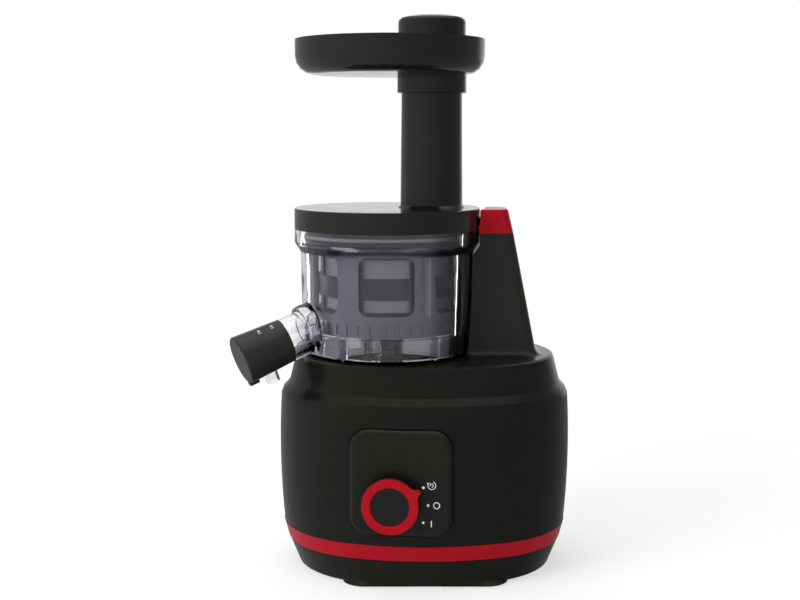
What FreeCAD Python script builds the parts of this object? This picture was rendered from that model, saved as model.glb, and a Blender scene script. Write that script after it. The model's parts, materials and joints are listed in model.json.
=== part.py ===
import FreeCAD, Part
import math
import os
import Sketcher

# Cold press juicer, in millimetres, +Z up.
# The origin is the centre of the floor print.
# The front, with the control panel, faces -Y.

SIZES = [
    ("drive_x", -10.5, "drive axis, across"),
    ("drive_y", 4.7, "drive axis, front to back"),
    ("base_offset", 27.5, "centre of the oval base from the drive axis"),
    ("seat_gap", 0.3, "gap between a loose piece and its seat"),
    ("fit_gap", 0.08, "radial clearance of a running fit"),
    ("foot_lift", 0.8, "rubber feet below the plinth"),
    ("plinth_rise", 0.7, "plinth height"),
    ("plinth_length", 118.0, "plinth, left to right"),
    ("plinth_width", 141.0, "plinth, front to back"),
    ("plinth_corner", 16.0, "plinth corner radius"),
    ("pan_rise", 19.0, "sloping skirt of the base pan"),
    ("band_rise", 11.5, "red trim band"),
    ("belly_rise", 50.0, "band to the widest section"),
    ("barrel_rise", 45.5, "widest section to the shoulder"),
    ("shoulder_rise", 4.0, "rounded shoulder"),
    ("slope_rise", 5.0, "sloping step above the shoulder"),
    ("cone_rise", 20.5, "cone up to the deck"),
    ("foot_half_length", 94.0, "oval at the plinth"),
    ("foot_half_width", 71.0, "oval at the plinth"),
    ("band_half_length", 101.6, "oval under the band"),
    ("band_half_width", 74.6, "oval under the band"),
    ("rim_half_length", 104.6, "oval over the band"),
    ("rim_half_width", 78.0, "oval over the band"),
    ("belly_half_length", 107.2, "widest oval"),
    ("belly_half_width", 80.6, "widest oval"),
    ("barrel_half_length", 106.0, "oval at the top of the barrel"),
    ("barrel_half_width", 80.0, "oval at the top of the barrel"),
    ("shoulder_half_length", 104.4, "oval over the shoulder"),
    ("shoulder_half_width", 78.5, "oval over the shoulder"),
    ("neck_half_length", 99.8, "oval at the foot of the cone"),
    ("neck_half_width", 75.0, "oval at the foot of the cone"),
    ("deck_half_length", 95.5, "oval at the deck"),
    ("deck_half_width", 69.6, "oval at the deck"),
    ("end_share", 0.93, "end radius of an oval over its half width"),
    ("housing_wall", 3.0, "wall of the base mouldings"),
    ("deck_edge", 3.0, "rounding of the deck edge"),
    ("column_rise", 88.8, "column above the deck"),
    ("column_foot_reach", 109.6, "outer face of the column at the deck"),
    ("column_top_reach", 91.6, "outer face of the column under its cap"),
    ("column_foot_half", 22.5, "half width of the column at the deck"),
    ("column_top_half", 18.5, "half width of the column at its cap"),
    ("column_corner", 8.0, "rounded upright edges of the column"),
    ("column_flare", 7.0, "flare of the column into the deck"),
    ("cap_rise", 17.0, "red cap of the column"),
    ("cap_top_reach", 87.6, "outer face of the cap at its top"),
    ("cap_top_half", 17.6, "half width of the cap at its top"),
    ("cap_edge", 1.2, "rounded top edge of the cap"),
    ("column_gap", 1.5, "air between the bowl and the column"),
    ("bowl_floor_radius", 60.8, "bowl, outside at the floor"),
    ("bowl_step_radius", 61.6, "bowl, outside under the step"),
    ("bowl_wall_radius", 62.3, "bowl, outside over the step"),
    ("bowl_neck_radius", 63.6, "bowl, outside under the rim"),
    ("rim_radius", 67.8, "bowl rim and lid, outside"),
    ("bowl_wall", 2.4, "bowl wall"),
    ("bowl_floor", 2.8, "bowl floor"),
    ("bowl_foot_edge", 4.0, "rounded foot of the bowl"),
    ("step_level", 17.0, "step in the bowl wall over its foot"),
    ("neck_level", 75.0, "foot of the flared rim over the foot of the bowl"),
    ("flange_level", 81.7, "foot of the rim band over the foot of the bowl"),
    ("bowl_rise", 91.3, "height of the bowl"),
    ("ledge_level", 79.5, "inner ledge of the bowl over its foot"),
    ("ledge_width", 3.4, "width of the inner ledge"),
    ("sleeve_bore", 9.5, "bore of the sleeve in the bowl floor, radius"),
    ("sleeve_wall", 2.5, "wall of that sleeve"),
    ("sleeve_rise", 5.0, "sleeve above the bowl floor"),
    ("spout_turn", 204.5, "direction of the juice spout round the bowl"),
    ("spout_dip", 20.0, "downward slope of the spout"),
    ("spout_level", 19.5, "spout axis at the bowl wall over the bowl foot"),
    ("spout_radius", 16.0, "spout tube, outside"),
    ("spigot_radius", 13.8, "end of the spout inside its cap"),
    ("spout_wall", 2.2, "spout wall"),
    ("spout_ring", 0.6, "sealing ring of the spout cap"),
    ("spout_reach", 52.0, "spout from the bowl wall to its end"),
    ("spout_end_wall", 2.0, "end wall of the spout"),
    ("spout_root_flare", 3.2, "collar where the spout leaves the bowl"),
    ("port_radius", 3.5, "pouring port"),
    ("port_reach", 36.8, "pouring port from the bowl wall"),
    ("spout_cap_length", 36.0, "spout cap"),
    ("spout_cap_wall", 2.2, "wall of the spout cap"),
    ("spout_cap_radius", 17.9, "spout cap at its closed end"),
    ("nose_wall", 1.5, "wall of the pouring nose"),
    ("nose_reach", 6.0, "pouring nose below the spout cap"),
    ("thumb_width", 6.5, "thumb tab of the spout cap"),
    ("thumb_rise", 1.8, "thumb tab beyond the spout cap"),
    ("thumb_length", 7.0, "thumb tab along the spout cap"),
    ("pulp_turn", 112.0, "direction of the pulp outlet round the bowl"),
    ("pulp_width", 26.0, "pulp outlet, outside width"),
    ("pulp_height", 20.0, "pulp outlet, outside height"),
    ("pulp_wall", 2.2, "pulp outlet wall"),
    ("pulp_reach", 87.0, "pulp outlet from the drive axis"),
    ("gear_level", 19.0, "gears over the foot of the bowl"),
    ("gear_width", 8.0, "face width of the brush gears"),
    ("tooth_module", 2.5, "module of the brush gears"),
    ("pressure_angle", 25.0, "pressure angle of the brush gears"),
    ("tooth_tip", 0.85, "addendum over the module"),
    ("tooth_root", 1.2, "dedendum over the module"),
    ("tooth_play", 0.3, "backlash"),
    ("sun_teeth", 11.0, "teeth on the auger gear"),
    ("idler_teeth", 14.0, "teeth on the idler gear"),
    ("idler_turn", -110.0, "direction of the idler round the drive axis"),
    ("idler_pin", 3.0, "radius of the idler pin"),
    ("cage_radius", 54.2, "brush cage, outside"),
    ("cage_wall", 2.2, "brush cage wall"),
    ("cage_foot", 17.6, "foot of the brush cage over the foot of the bowl"),
    ("core_width", 3.4, "cored groove outside each tooth of the ring gear"),
    ("core_depth", 1.1, "depth of the cored grooves"),
    ("rest_count", 5.0, "rests of the bowl under the brush cage"),
    ("rest_turn", 20.0, "direction of the first rest"),
    ("rest_thick", 2.0, "thickness of a rest"),
    ("rest_width", 9.0, "rest from the wall of the bowl inwards"),
    ("cage_windows", 6.0, "windows in the brush cage"),
    ("window_span", 42.0, "window width, degrees"),
    ("window_foot", 33.0, "window sill over the foot of the bowl"),
    ("window_head", 74.5, "window head over the foot of the bowl"),
    ("window_corner", 7.0, "rounded lower corners of the windows"),
    ("cage_head", 79.2, "top of the brush cage over the foot of the bowl"),
    ("blade_thick", 2.0, "wiper blade"),
    ("blade_count", 3.0, "wiper blades"),
    ("screen_radius", 48.0, "strainer screen, outside"),
    ("screen_thick", 0.5, "strainer screen"),
    ("strainer_wall", 2.2, "strainer frame wall"),
    ("strainer_floor", 2.0, "strainer floor"),
    ("strainer_ribs", 8.0, "upright ribs of the strainer"),
    ("rib_width", 5.0, "strainer rib"),
    ("strainer_ring", 7.0, "strainer hoops at the foot and the head"),
    ("hoop_foot", 44.0, "foot of the middle hoop over the foot of the bowl"),
    ("hoop_head", 59.0, "head of the middle hoop over the foot of the bowl"),
    ("flange_thick", 2.4, "strainer flange"),
    ("auger_hub", 15.0, "auger hub radius"),
    ("auger_core", 19.0, "auger core radius at its foot"),
    ("auger_waist", 11.0, "auger core radius at its head"),
    ("auger_pin", 4.0, "auger top pin radius"),
    ("flight_radius", 45.5, "auger flight radius"),
    ("flight_thick", 5.0, "auger flight at its root"),
    ("flight_tip", 2.4, "auger flight at its tip"),
    ("flight_pitch", 52.0, "pitch of the flights"),
    ("flight_rise", 34.0, "rise of the flights"),
    ("hex_flats", 12.0, "drive shaft across the flats"),
    ("hex_rise", 46.0, "drive shaft over the deck"),
    ("shaft_radius", 6.0, "round part of the drive shaft"),
    ("lid_rise", 15.2, "height of the lid edge"),
    ("lid_plate", 2.8, "lid top"),
    ("lid_wall", 2.6, "lid edge wall"),
    ("lid_edge", 1.0, "rounded top edge of the lid"),
    ("plug_rise", 8.6, "inner ring of the lid below the rim"),
    ("plug_wall", 4.6, "inner ring of the lid"),
    ("gasket_radius", 1.4, "lid gasket"),
    ("lid_tab_width", 10.0, "locking tab of the lid"),
    ("lid_tab_reach", 3.4, "locking tab beyond the lid edge"),
    ("lid_tab_rise", 6.0, "height of the locking tab"),
    ("tube_offset", 32.4, "feed tube from the drive axis"),
    ("tube_bore", 20.0, "feed tube bore radius"),
    ("tube_foot_radius", 22.7, "feed tube outside at the lid"),
    ("tube_head_radius", 21.9, "feed tube outside at its collar"),
    ("tube_rise", 82.0, "feed tube from the lid to its collar"),
    ("collar_radius", 25.0, "feed tube collar"),
    ("collar_rise", 12.0, "collar height"),
    ("spigot_depth", 8.0, "tray spigot in the collar"),
    ("spigot_wall", 2.0, "tray spigot wall"),
    ("tray_radius", 68.4, "tray, outside"),
    ("tray_shift", 2.2, "tray centre from the drive axis"),
    ("tray_rise", 24.6, "tray height"),
    ("tray_wall", 2.2, "tray wall"),
    ("tray_foot_edge", 13.0, "rounded foot of the tray"),
    ("tray_neck", 1.6, "neck between collar and tray"),
    ("pusher_gap", 0.5, "pusher to feed tube"),
    ("pusher_length", 88.0, "pusher below the tray floor"),
    ("spigot_gap", 0.4, "tray spigot bore over the feed tube bore"),
    ("pusher_wall", 2.2, "pusher wall"),
    ("grip_radius", 24.3, "pusher grip"),
    ("grip_rise", 38.2, "pusher grip height"),
    ("grip_edge", 4.0, "rounded top edge of the grip"),
    ("grip_crown", 1.8, "crown of the grip"),
    ("panel_turn", 6.0, "direction of the control panel off the front"),
    ("panel_width", 72.0, "control panel"),
    ("panel_rise", 76.0, "control panel height"),
    ("panel_level", 78.0, "middle of the control panel over the floor"),
    ("panel_corner", 14.0, "control panel corner radius"),
    ("panel_proud", 1.4, "panel face in front of the barrel"),
    ("panel_depth", 8.5, "panel thickness"),
    ("panel_margin", 4.0, "backing beyond the panel"),
    ("panel_edge", 4.0, "rounded front edge of the panel"),
    ("knob_shift", -6.0, "knob from the middle of the panel"),
    ("knob_level", 65.0, "knob axis over the floor"),
    ("knob_radius", 19.0, "knob skirt radius"),
    ("knob_rise", 9.8, "knob skirt height"),
    ("knob_ribs", 40.0, "grooves round the knob"),
    ("knob_groove", 0.6, "depth of a knob groove"),
    ("ring_radius", 19.6, "red ring, outside"),
    ("ring_bore", 13.4, "red ring, inside"),
    ("ring_rise", 2.4, "red ring height"),
    ("pointer_reach", 23.6, "pointer tip from the knob axis"),
    ("pointer_tip", 2.6, "width of the pointer tip"),
    ("pointer_root", 12.6, "width of the pointer at the ring"),
    ("pointer_turn", 29.0, "pointer above the horizontal"),
    ("disc_rise", 1.6, "black disc inside the ring"),
    ("spindle_radius", 3.0, "switch spindle"),
    ("switch_side", 28.0, "rotary switch body"),
    ("switch_depth", 16.0, "rotary switch depth"),
    ("motor_offset", 46.0, "motor axis from the drive axis"),
    ("motor_radius", 35.0, "motor can"),
    ("motor_wall", 2.5, "motor can wall"),
    ("motor_foot", 26.0, "foot of the motor can over the floor"),
    ("motor_rise", 78.0, "height of the motor can"),
    ("rotor_radius", 19.0, "rotor stack"),
    ("stator_gap", 0.8, "air gap of the motor"),
    ("rotor_rise", 46.0, "rotor stack height"),
    ("motor_shaft", 4.0, "motor shaft radius"),
    ("fan_radius", 29.0, "cooling fan"),
    ("fan_blades", 9.0, "fan blades"),
    ("fan_rise", 9.0, "fan blade height"),
    ("case_rise", 30.0, "gearbox case height"),
    ("case_radius", 36.0, "gearbox case round the drive axis"),
    ("case_end_radius", 26.0, "gearbox case round the motor axis"),
    ("case_sink", 2.0, "motor shaft play in the gearbox"),
    ("lid_case_rise", 4.0, "gearbox cover"),
    ("bush_radius", 8.9, "output bush flange"),
    ("bush_flange", 1.6, "output bush flange height"),
    ("seal_radius", 8.9, "shaft seal"),
    ("foot_radius", 9.0, "rubber foot"),
    ("foot_rise", 2.8, "rubber foot height"),
    ("foot_inset_x", 38.0, "rubber feet from the base centre"),
    ("foot_inset_y", 54.0, "rubber feet from the base centre"),
    ("boss_radius", 5.0, "screw boss"),
    ("screw_radius", 1.6, "case screw"),
    ("screw_head", 3.2, "case screw head"),
    ("boss_inset_x", 62.0, "screw bosses from the base centre"),
    ("boss_inset_y", 40.0, "screw bosses from the base centre"),
    ("vent_count", 9.0, "cooling slots"),
    ("vent_width", 3.0, "cooling slot"),
    ("vent_length", 40.0, "cooling slot"),
    ("vent_pitch", 7.0, "cooling slots apart"),
    ("cord_bush_radius", 7.5, "cord bush"),
    ("cord_bore", 3.2, "hole in the cord bush"),
    ("cord_bush_rise", 5.0, "cord bush beyond the wall"),
    ("cord_level", 50.0, "cord bush over the floor"),
    ("board_length", 60.0, "circuit board"),
    ("board_width", 34.0, "circuit board"),
    ("board_thick", 1.6, "circuit board"),
    ("board_lift", 9.0, "circuit board over the pan floor"),
]

doc = FreeCAD.newDocument("juicer")
sheet = doc.addObject("Spreadsheet::Sheet", "sizes")
for row, (alias, number, meaning) in enumerate(SIZES, start=1):
    sheet.set("A%d" % row, meaning)
    sheet.set("B%d" % row, str(number))
    sheet.setAlias("B%d" % row, alias)
doc.recompute()


# A size keeps its value together with the expression that drives it.
class Size:
    def __init__(self, value, text):
        self.value = float(value)
        self.text = text

    def join(self, other, sign, value):
        return Size(value, "(%s %s %s)" % (self.text, sign, other.text))

    def __add__(self, other):
        other = as_size(other)
        return self.join(other, "+", self.value + other.value)

    def __radd__(self, other):
        return as_size(other) + self

    def __sub__(self, other):
        other = as_size(other)
        return self.join(other, "-", self.value - other.value)

    def __rsub__(self, other):
        return as_size(other) - self

    def __mul__(self, other):
        other = as_size(other)
        return self.join(other, "*", self.value * other.value)

    def __rmul__(self, other):
        return as_size(other) * self

    def __truediv__(self, other):
        other = as_size(other)
        return self.join(other, "/", self.value / other.value)

    def __rtruediv__(self, other):
        return as_size(other) / self

    def __neg__(self):
        return Size(-self.value, "(0 - %s)" % self.text)


def as_size(thing):
    if isinstance(thing, Size):
        return thing
    return Size(thing, "(%.9f)" % thing)


def size(alias):
    return Size(float(sheet.get(alias)), "sizes.%s" % alias)


def count(alias):
    return int(round(size(alias).value))


def root(thing):
    return Size(math.sqrt(thing.value), "sqrt(%s)" % thing.text)


# Levels above the floor, each from the one below it.
plinth_z = size("foot_lift")
pan_z = plinth_z + size("plinth_rise")
band_z = pan_z + size("pan_rise")
rim_z = band_z + size("band_rise")
belly_z = rim_z + size("belly_rise")
barrel_z = belly_z + size("barrel_rise")
shoulder_z = barrel_z + size("shoulder_rise")
neck_z = shoulder_z + size("slope_rise")
deck_z = neck_z + size("cone_rise")
column_z = deck_z + size("column_rise")
cap_z = column_z + size("cap_rise")
bowl_rim_z = deck_z + size("bowl_rise")
lid_z = bowl_rim_z + size("lid_rise")
collar_z = lid_z + size("tube_rise")
collar_top_z = collar_z + size("collar_rise")
tray_z = collar_top_z + size("tray_neck")
tray_floor_z = tray_z + size("tray_wall")
tray_rim_z = tray_z + size("tray_rise")
gear_z = deck_z + size("gear_level")
gear_top_z = gear_z + size("gear_width")
strainer_z = gear_top_z + size("seat_gap") * 4
ledge_z = deck_z + size("ledge_level")
bowl_inside_z = deck_z + size("bowl_floor")
sleeve_top_z = bowl_inside_z + size("sleeve_rise")

wall = size("housing_wall")
gap = size("seat_gap")
fit = size("fit_gap")


# Body, sketch and feature helpers.
def make_body(label, across=None, along=None, up=None):
    body = doc.addObject("PartDesign::Body", label)
    body.Label = label
    if across is not None:
        body.setExpression(".Placement.Base.x", across.text)
        body.setExpression(".Placement.Base.y", along.text)
    if up is not None:
        body.setExpression(".Placement.Base.z", up.text)
    return body


def origin_part(body, role):
    for feature in body.Origin.OriginFeatures:
        if feature.Role == role:
            return feature
    raise ValueError("no %s in %s" % (role, body.Label))


def make_sketch(body, name, role="XY_Plane", up=None, offset=None):
    sketch = body.newObject("Sketcher::SketchObject", "%s_%s" % (body.Label, name))
    sketch.AttachmentSupport = [(origin_part(body, role), "")]
    sketch.MapMode = "FlatFace"
    if offset is not None:
        sketch.AttachmentOffset = offset
    if up is not None:
        sketch.setExpression(".AttachmentOffset.Base.z", up.text)
    return sketch


def pin_point(sketch, geometry, end, across, along):
    for kind, axis, place in (("DistanceX", -2, across), ("DistanceY", -1, along)):
        place = as_size(place)
        if place.text == "(%.9f)" % 0.0:
            sketch.addConstraint(Sketcher.Constraint("PointOnObject", geometry, end, axis))
            continue
        mark = sketch.addConstraint(Sketcher.Constraint(kind, -1, 1, geometry, end, place.value))
        sketch.setExpression("Constraints[%d]" % mark, place.text)


def draw_outline(sketch, corners):
    points = []
    for across, along in corners:
        points.append(FreeCAD.Vector(as_size(across).value, as_size(along).value, 0))
    first = sketch.GeometryCount
    total = len(points)
    for index in range(total):
        segment = Part.LineSegment(points[index], points[(index + 1) % total])
        sketch.addGeometry(segment, False)
    for index in range(total):
        following = first + (index + 1) % total
        link = Sketcher.Constraint("Coincident", first + index, 2, following, 1)
        sketch.addConstraint(link)
    for index, (across, along) in enumerate(corners):
        pin_point(sketch, first + index, 1, across, along)


def draw_circle(sketch, across, along, radius):
    across = as_size(across)
    along = as_size(along)
    centre = FreeCAD.Vector(across.value, along.value, 0)
    ring = Part.Circle(centre, FreeCAD.Vector(0, 0, 1), radius.value)
    index = sketch.addGeometry(ring, False)
    mark = sketch.addConstraint(Sketcher.Constraint("Radius", index, radius.value))
    sketch.setExpression("Constraints[%d]" % mark, radius.text)
    pin_point(sketch, index, 3, across, along)


def draw_free(sketch, points):
    first = sketch.GeometryCount
    total = len(points)
    for index in range(total):
        start = FreeCAD.Vector(points[index][0], points[index][1], 0)
        end = FreeCAD.Vector(points[(index + 1) % total][0], points[(index + 1) % total][1], 0)
        sketch.addGeometry(Part.LineSegment(start, end), False)
    for index in range(total):
        link = Sketcher.Constraint("Coincident", first + index, 2, first + (index + 1) % total, 1)
        sketch.addConstraint(link)


def arc_between(centre, radius, first, last):
    circle = Part.Circle(centre, FreeCAD.Vector(0, 0, 1), radius)
    return Part.ArcOfCircle(circle, first, last)


def oval_sketch(body, name, up, half_length, half_width):
    sketch = make_sketch(body, name, "XY_Plane", up)
    end = size("end_share") * half_width
    reach = half_length - end
    side = (reach * reach + half_width * half_width - end * end) / ((half_width - end) * 2)
    depth = side.value - half_width.value
    lean = math.atan2(depth, reach.value)
    right = FreeCAD.Vector(reach.value, 0, 0)
    left = FreeCAD.Vector(-reach.value, 0, 0)
    low = FreeCAD.Vector(0, -depth, 0)
    high = FreeCAD.Vector(0, depth, 0)
    sketch.addGeometry(arc_between(right, end.value, -lean, lean), False)
    sketch.addGeometry(arc_between(low, side.value, lean, math.pi - lean), False)
    sketch.addGeometry(arc_between(left, end.value, math.pi - lean, math.pi + lean), False)
    sketch.addGeometry(arc_between(high, side.value, math.pi + lean, 2 * math.pi - lean), False)
    for index in range(4):
        link = Sketcher.Constraint("Tangent", index, 2, (index + 1) % 4, 1)
        sketch.addConstraint(link)
    sketch.addConstraint(Sketcher.Constraint("PointOnObject", 0, 3, -1))
    sketch.addConstraint(Sketcher.Constraint("PointOnObject", 2, 3, -1))
    sketch.addConstraint(Sketcher.Constraint("PointOnObject", 1, 3, -2))
    sketch.addConstraint(Sketcher.Constraint("Equal", 0, 2))
    mark = sketch.addConstraint(Sketcher.Constraint("Radius", 0, end.value))
    sketch.setExpression("Constraints[%d]" % mark, end.text)
    mark = sketch.addConstraint(Sketcher.Constraint("Radius", 1, side.value))
    sketch.setExpression("Constraints[%d]" % mark, side.text)
    mark = sketch.addConstraint(Sketcher.Constraint("DistanceX", -1, 1, 0, 3, reach.value))
    sketch.setExpression("Constraints[%d]" % mark, reach.text)
    return sketch


def rounded_sketch(sketch, left, right, low, high, corner):
    left = as_size(left)
    low = as_size(low)
    x_near = left.value
    x_far = right.value
    y_near = low.value
    y_far = high.value
    round_by = corner.value
    quarter = math.pi / 2
    corners = (
        (x_far - round_by, y_near + round_by, -quarter),
        (x_far - round_by, y_far - round_by, 0.0),
        (x_near + round_by, y_far - round_by, quarter),
        (x_near + round_by, y_near + round_by, 2 * quarter),
    )
    for across, along, begin in corners:
        centre = FreeCAD.Vector(across, along, 0)
        sketch.addGeometry(arc_between(centre, round_by, begin, begin + quarter), False)
    sides = (
        ((x_far, y_near + round_by), (x_far, y_far - round_by)),
        ((x_far - round_by, y_far), (x_near + round_by, y_far)),
        ((x_near, y_far - round_by), (x_near, y_near + round_by)),
        ((x_near + round_by, y_near), (x_far - round_by, y_near)),
    )
    for begin, finish in sides:
        start = FreeCAD.Vector(begin[0], begin[1], 0)
        stop = FreeCAD.Vector(finish[0], finish[1], 0)
        sketch.addGeometry(Part.LineSegment(start, stop), False)
    for index in range(4):
        sketch.addConstraint(Sketcher.Constraint("Tangent", index, 2, 4 + index, 1))
        sketch.addConstraint(Sketcher.Constraint("Tangent", 4 + index, 2, (index + 1) % 4, 1))
    for index in range(3):
        sketch.addConstraint(Sketcher.Constraint("Equal", 0, index + 1))
    sketch.addConstraint(Sketcher.Constraint("Vertical", 4))
    sketch.addConstraint(Sketcher.Constraint("Horizontal", 5))
    mark = sketch.addConstraint(Sketcher.Constraint("Radius", 0, round_by))
    sketch.setExpression("Constraints[%d]" % mark, corner.text)
    for kind, side, end, place in (
        ("DistanceX", 4, 1, right),
        ("DistanceX", 6, 1, left),
        ("DistanceY", 5, 1, high),
        ("DistanceY", 7, 1, low),
    ):
        mark = sketch.addConstraint(Sketcher.Constraint(kind, -1, 1, side, end, place.value))
        sketch.setExpression("Constraints[%d]" % mark, place.text)


def add_pad(body, sketch, length, reverse=False, both=False):
    feature = body.newObject("PartDesign::Pad", sketch.Name + "_pad")
    feature.Profile = sketch
    feature.setExpression("Length", length.text)
    feature.Reversed = reverse
    feature.Midplane = both
    doc.recompute()
    stop_if_failed(feature)
    return feature


def add_cut(body, sketch, length, reverse=False, both=False):
    before = body.Shape.Volume
    feature = body.newObject("PartDesign::Pocket", sketch.Name + "_cut")
    feature.Profile = sketch
    feature.setExpression("Length", length.text)
    feature.Reversed = reverse
    feature.Midplane = both
    doc.recompute()
    stop_if_failed(feature)
    check_cut(body, before, sketch.Name)
    return feature


def stop_if_failed(feature):
    if "Invalid" in feature.State or feature.Shape.isNull() or not feature.Shape.isValid():
        raise ValueError("%s failed %s" % (feature.Name, feature.State))


def check_cut(body, before, name):
    if body.Shape.isNull() or body.Shape.Volume >= before:
        raise ValueError("%s removes nothing" % name)


def add_turn(body, sketch, cut=False):
    kind = "PartDesign::Groove" if cut else "PartDesign::Revolution"
    before = body.Shape.Volume if cut else 0.0
    feature = body.newObject(kind, sketch.Name + "_turn")
    feature.Profile = sketch
    feature.ReferenceAxis = (sketch, ["V_Axis"])
    feature.Angle = 360.0
    doc.recompute()
    stop_if_failed(feature)
    if cut:
        check_cut(body, before, sketch.Name)
    return feature


def add_loft(body, sketches, cut=False, ruled=True):
    kind = "PartDesign::SubtractiveLoft" if cut else "PartDesign::AdditiveLoft"
    before = body.Shape.Volume if cut else 0.0
    feature = body.newObject(kind, sketches[0].Name + "_loft")
    feature.Profile = sketches[0]
    feature.Sections = sketches[1:]
    feature.Ruled = ruled
    doc.recompute()
    stop_if_failed(feature)
    if cut:
        check_cut(body, before, sketches[0].Name)
    return feature


def add_fillet(body, chosen, radius, name):
    tip = body.Tip
    names = []
    for index, edge in enumerate(tip.Shape.Edges, start=1):
        if chosen(edge):
            names.append("Edge%d" % index)
    if not names:
        raise ValueError("no edge to round for %s" % name)
    feature = body.newObject("PartDesign::Fillet", name)
    feature.Base = (tip, names)
    feature.setExpression("Radius", radius.text)
    doc.recompute()
    stop_if_failed(feature)
    return feature


def add_pattern(body, features, copies, name):
    feature = body.newObject("PartDesign::PolarPattern", name)
    feature.Originals = features
    feature.Axis = (origin_part(body, "Z_Axis"), [""])
    feature.Angle = 360.0
    feature.setExpression("Occurrences", copies.text)
    body.Tip = feature
    doc.recompute()
    stop_if_failed(feature)
    return feature


def ring_profile(body, name, corners, cut=False):
    sketch = make_sketch(body, name, "XZ_Plane")
    draw_outline(sketch, corners)
    return add_turn(body, sketch, cut)


def is_level_edge(edge, level, slack=0.05):
    box = edge.BoundBox
    return abs(box.ZMin - level) < slack and abs(box.ZMax - level) < slack


def is_round_edge(edge, level, radius, slack=0.05):
    if not is_level_edge(edge, level, slack):
        return False
    point = edge.valueAt(edge.FirstParameter)
    return abs(math.hypot(point.x, point.y) - radius) < slack


# Tooth outlines by the involute.
def tooth_outline(teeth, tip_share, root_share, play):
    module = size("tooth_module").value
    angle = math.radians(size("pressure_angle").value)
    pitch = module * teeth / 2
    base = pitch * math.cos(angle)
    tip = pitch + module * tip_share
    foot = pitch - module * root_share
    half = math.pi / (2 * teeth) - play / (2 * pitch)
    spread = math.tan(angle) - angle
    start = max(base, foot)
    steps = 4
    flank = []
    for step in range(steps + 1):
        radius = start + (tip - start) * step / steps
        bend = math.acos(min(1.0, base / radius))
        flank.append((radius, half + spread - (math.tan(bend) - bend)))
    points = []
    for tooth in range(teeth):
        middle = 2 * math.pi * tooth / teeth
        side = []
        if foot < base:
            side.append((foot, flank[0][1]))
        side.extend(flank)
        for radius, lean in side:
            points.append((radius * math.cos(middle - lean), radius * math.sin(middle - lean)))
        for radius, lean in reversed(side):
            points.append((radius * math.cos(middle + lean), radius * math.sin(middle + lean)))
    return points


def turn_points(points, degrees):
    angle = math.radians(degrees)
    turned = []
    for across, along in points:
        turned.append((
            across * math.cos(angle) - along * math.sin(angle),
            across * math.sin(angle) + along * math.cos(angle),
        ))
    return turned


drive_x = size("drive_x")
drive_y = size("drive_y")
base_x = drive_x + size("base_offset")
sun_teeth = count("sun_teeth")
idler_teeth = count("idler_teeth")
ring_teeth = sun_teeth + 2 * idler_teeth
tooth_module = size("tooth_module")
idler_reach = tooth_module * (size("sun_teeth") + size("idler_teeth")) / 2
idler_angle = math.radians(size("idler_turn").value)

# Base pan: sloping skirt on a flat plinth, hollow from above.
pan = make_body("base_pan", base_x, drive_y)
pan_low = oval_sketch(pan, "foot", pan_z, size("foot_half_length"), size("foot_half_width"))
pan_high = oval_sketch(pan, "rim", band_z, size("band_half_length"), size("band_half_width"))
add_loft(pan, [pan_low, pan_high])
plinth = make_sketch(pan, "plinth", "XY_Plane", plinth_z)
rounded_sketch(plinth, size("plinth_length") / -2, size("plinth_length") / 2,
               size("plinth_width") / -2, size("plinth_width") / 2, size("plinth_corner"))
add_pad(pan, plinth, size("plinth_rise"))
inner_low = oval_sketch(pan, "hollow_foot", pan_z + wall, size("foot_half_length") - wall,
                        size("foot_half_width") - wall)
inner_high = oval_sketch(pan, "hollow_rim", band_z, size("band_half_length") - wall,
                         size("band_half_width") - wall)
add_loft(pan, [inner_low, inner_high], cut=True)

# Four screw bosses, two board posts and the recesses of the rubber feet.
bosses = make_sketch(pan, "bosses", "XY_Plane", pan_z + wall)
for side in (-1, 1):
    for end in (-1, 1):
        draw_circle(bosses, size("boss_inset_x") * side, size("boss_inset_y") * end,
                    size("boss_radius"))
add_pad(pan, bosses, band_z - pan_z - wall)
board_x = size("board_length") / 2 - size("boss_radius")
posts = make_sketch(pan, "posts", "XY_Plane", pan_z + wall)
for side in (-1, 1):
    draw_circle(posts, board_x * side - size("vent_length"), 0, size("boss_radius"))
add_pad(pan, posts, size("board_lift") - wall)
screw_holes = make_sketch(pan, "screw_holes", "XY_Plane", pan_z - gap * 10)
for side in (-1, 1):
    for end in (-1, 1):
        draw_circle(screw_holes, size("boss_inset_x") * side, size("boss_inset_y") * end,
                    size("screw_radius") + fit)
add_cut(pan, screw_holes, band_z - plinth_z + gap * 10, reverse=True)
head_holes = make_sketch(pan, "head_holes", "XY_Plane", pan_z - gap * 10)
for side in (-1, 1):
    for end in (-1, 1):
        draw_circle(head_holes, size("boss_inset_x") * side, size("boss_inset_y") * end,
                    size("screw_head") + gap)
add_cut(pan, head_holes, size("screw_head") + gap * 10, reverse=True)
foot_holes = make_sketch(pan, "foot_holes", "XY_Plane", plinth_z)
for side in (-1, 1):
    for end in (-1, 1):
        draw_circle(foot_holes, size("foot_inset_x") * side, size("foot_inset_y") * end,
                    size("foot_radius") + gap)
add_cut(pan, foot_holes, size("foot_rise") - size("foot_lift"), reverse=True)

# Cooling slots under the motor.
vents = make_sketch(pan, "vents", "XY_Plane", plinth_z)
vent_total = count("vent_count")
for index in range(vent_total):
    middle = size("vent_pitch") * (index - (vent_total - 1) / 2)
    near = middle - size("vent_width") / 2
    far = middle + size("vent_width") / 2
    draw_outline(vents, [
        (near, size("vent_length") / -2), (far, size("vent_length") / -2),
        (far, size("vent_length") / 2), (near, size("vent_length") / 2),
    ])
add_cut(pan, vents, pan_z + wall - plinth_z + gap, reverse=True)

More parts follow.
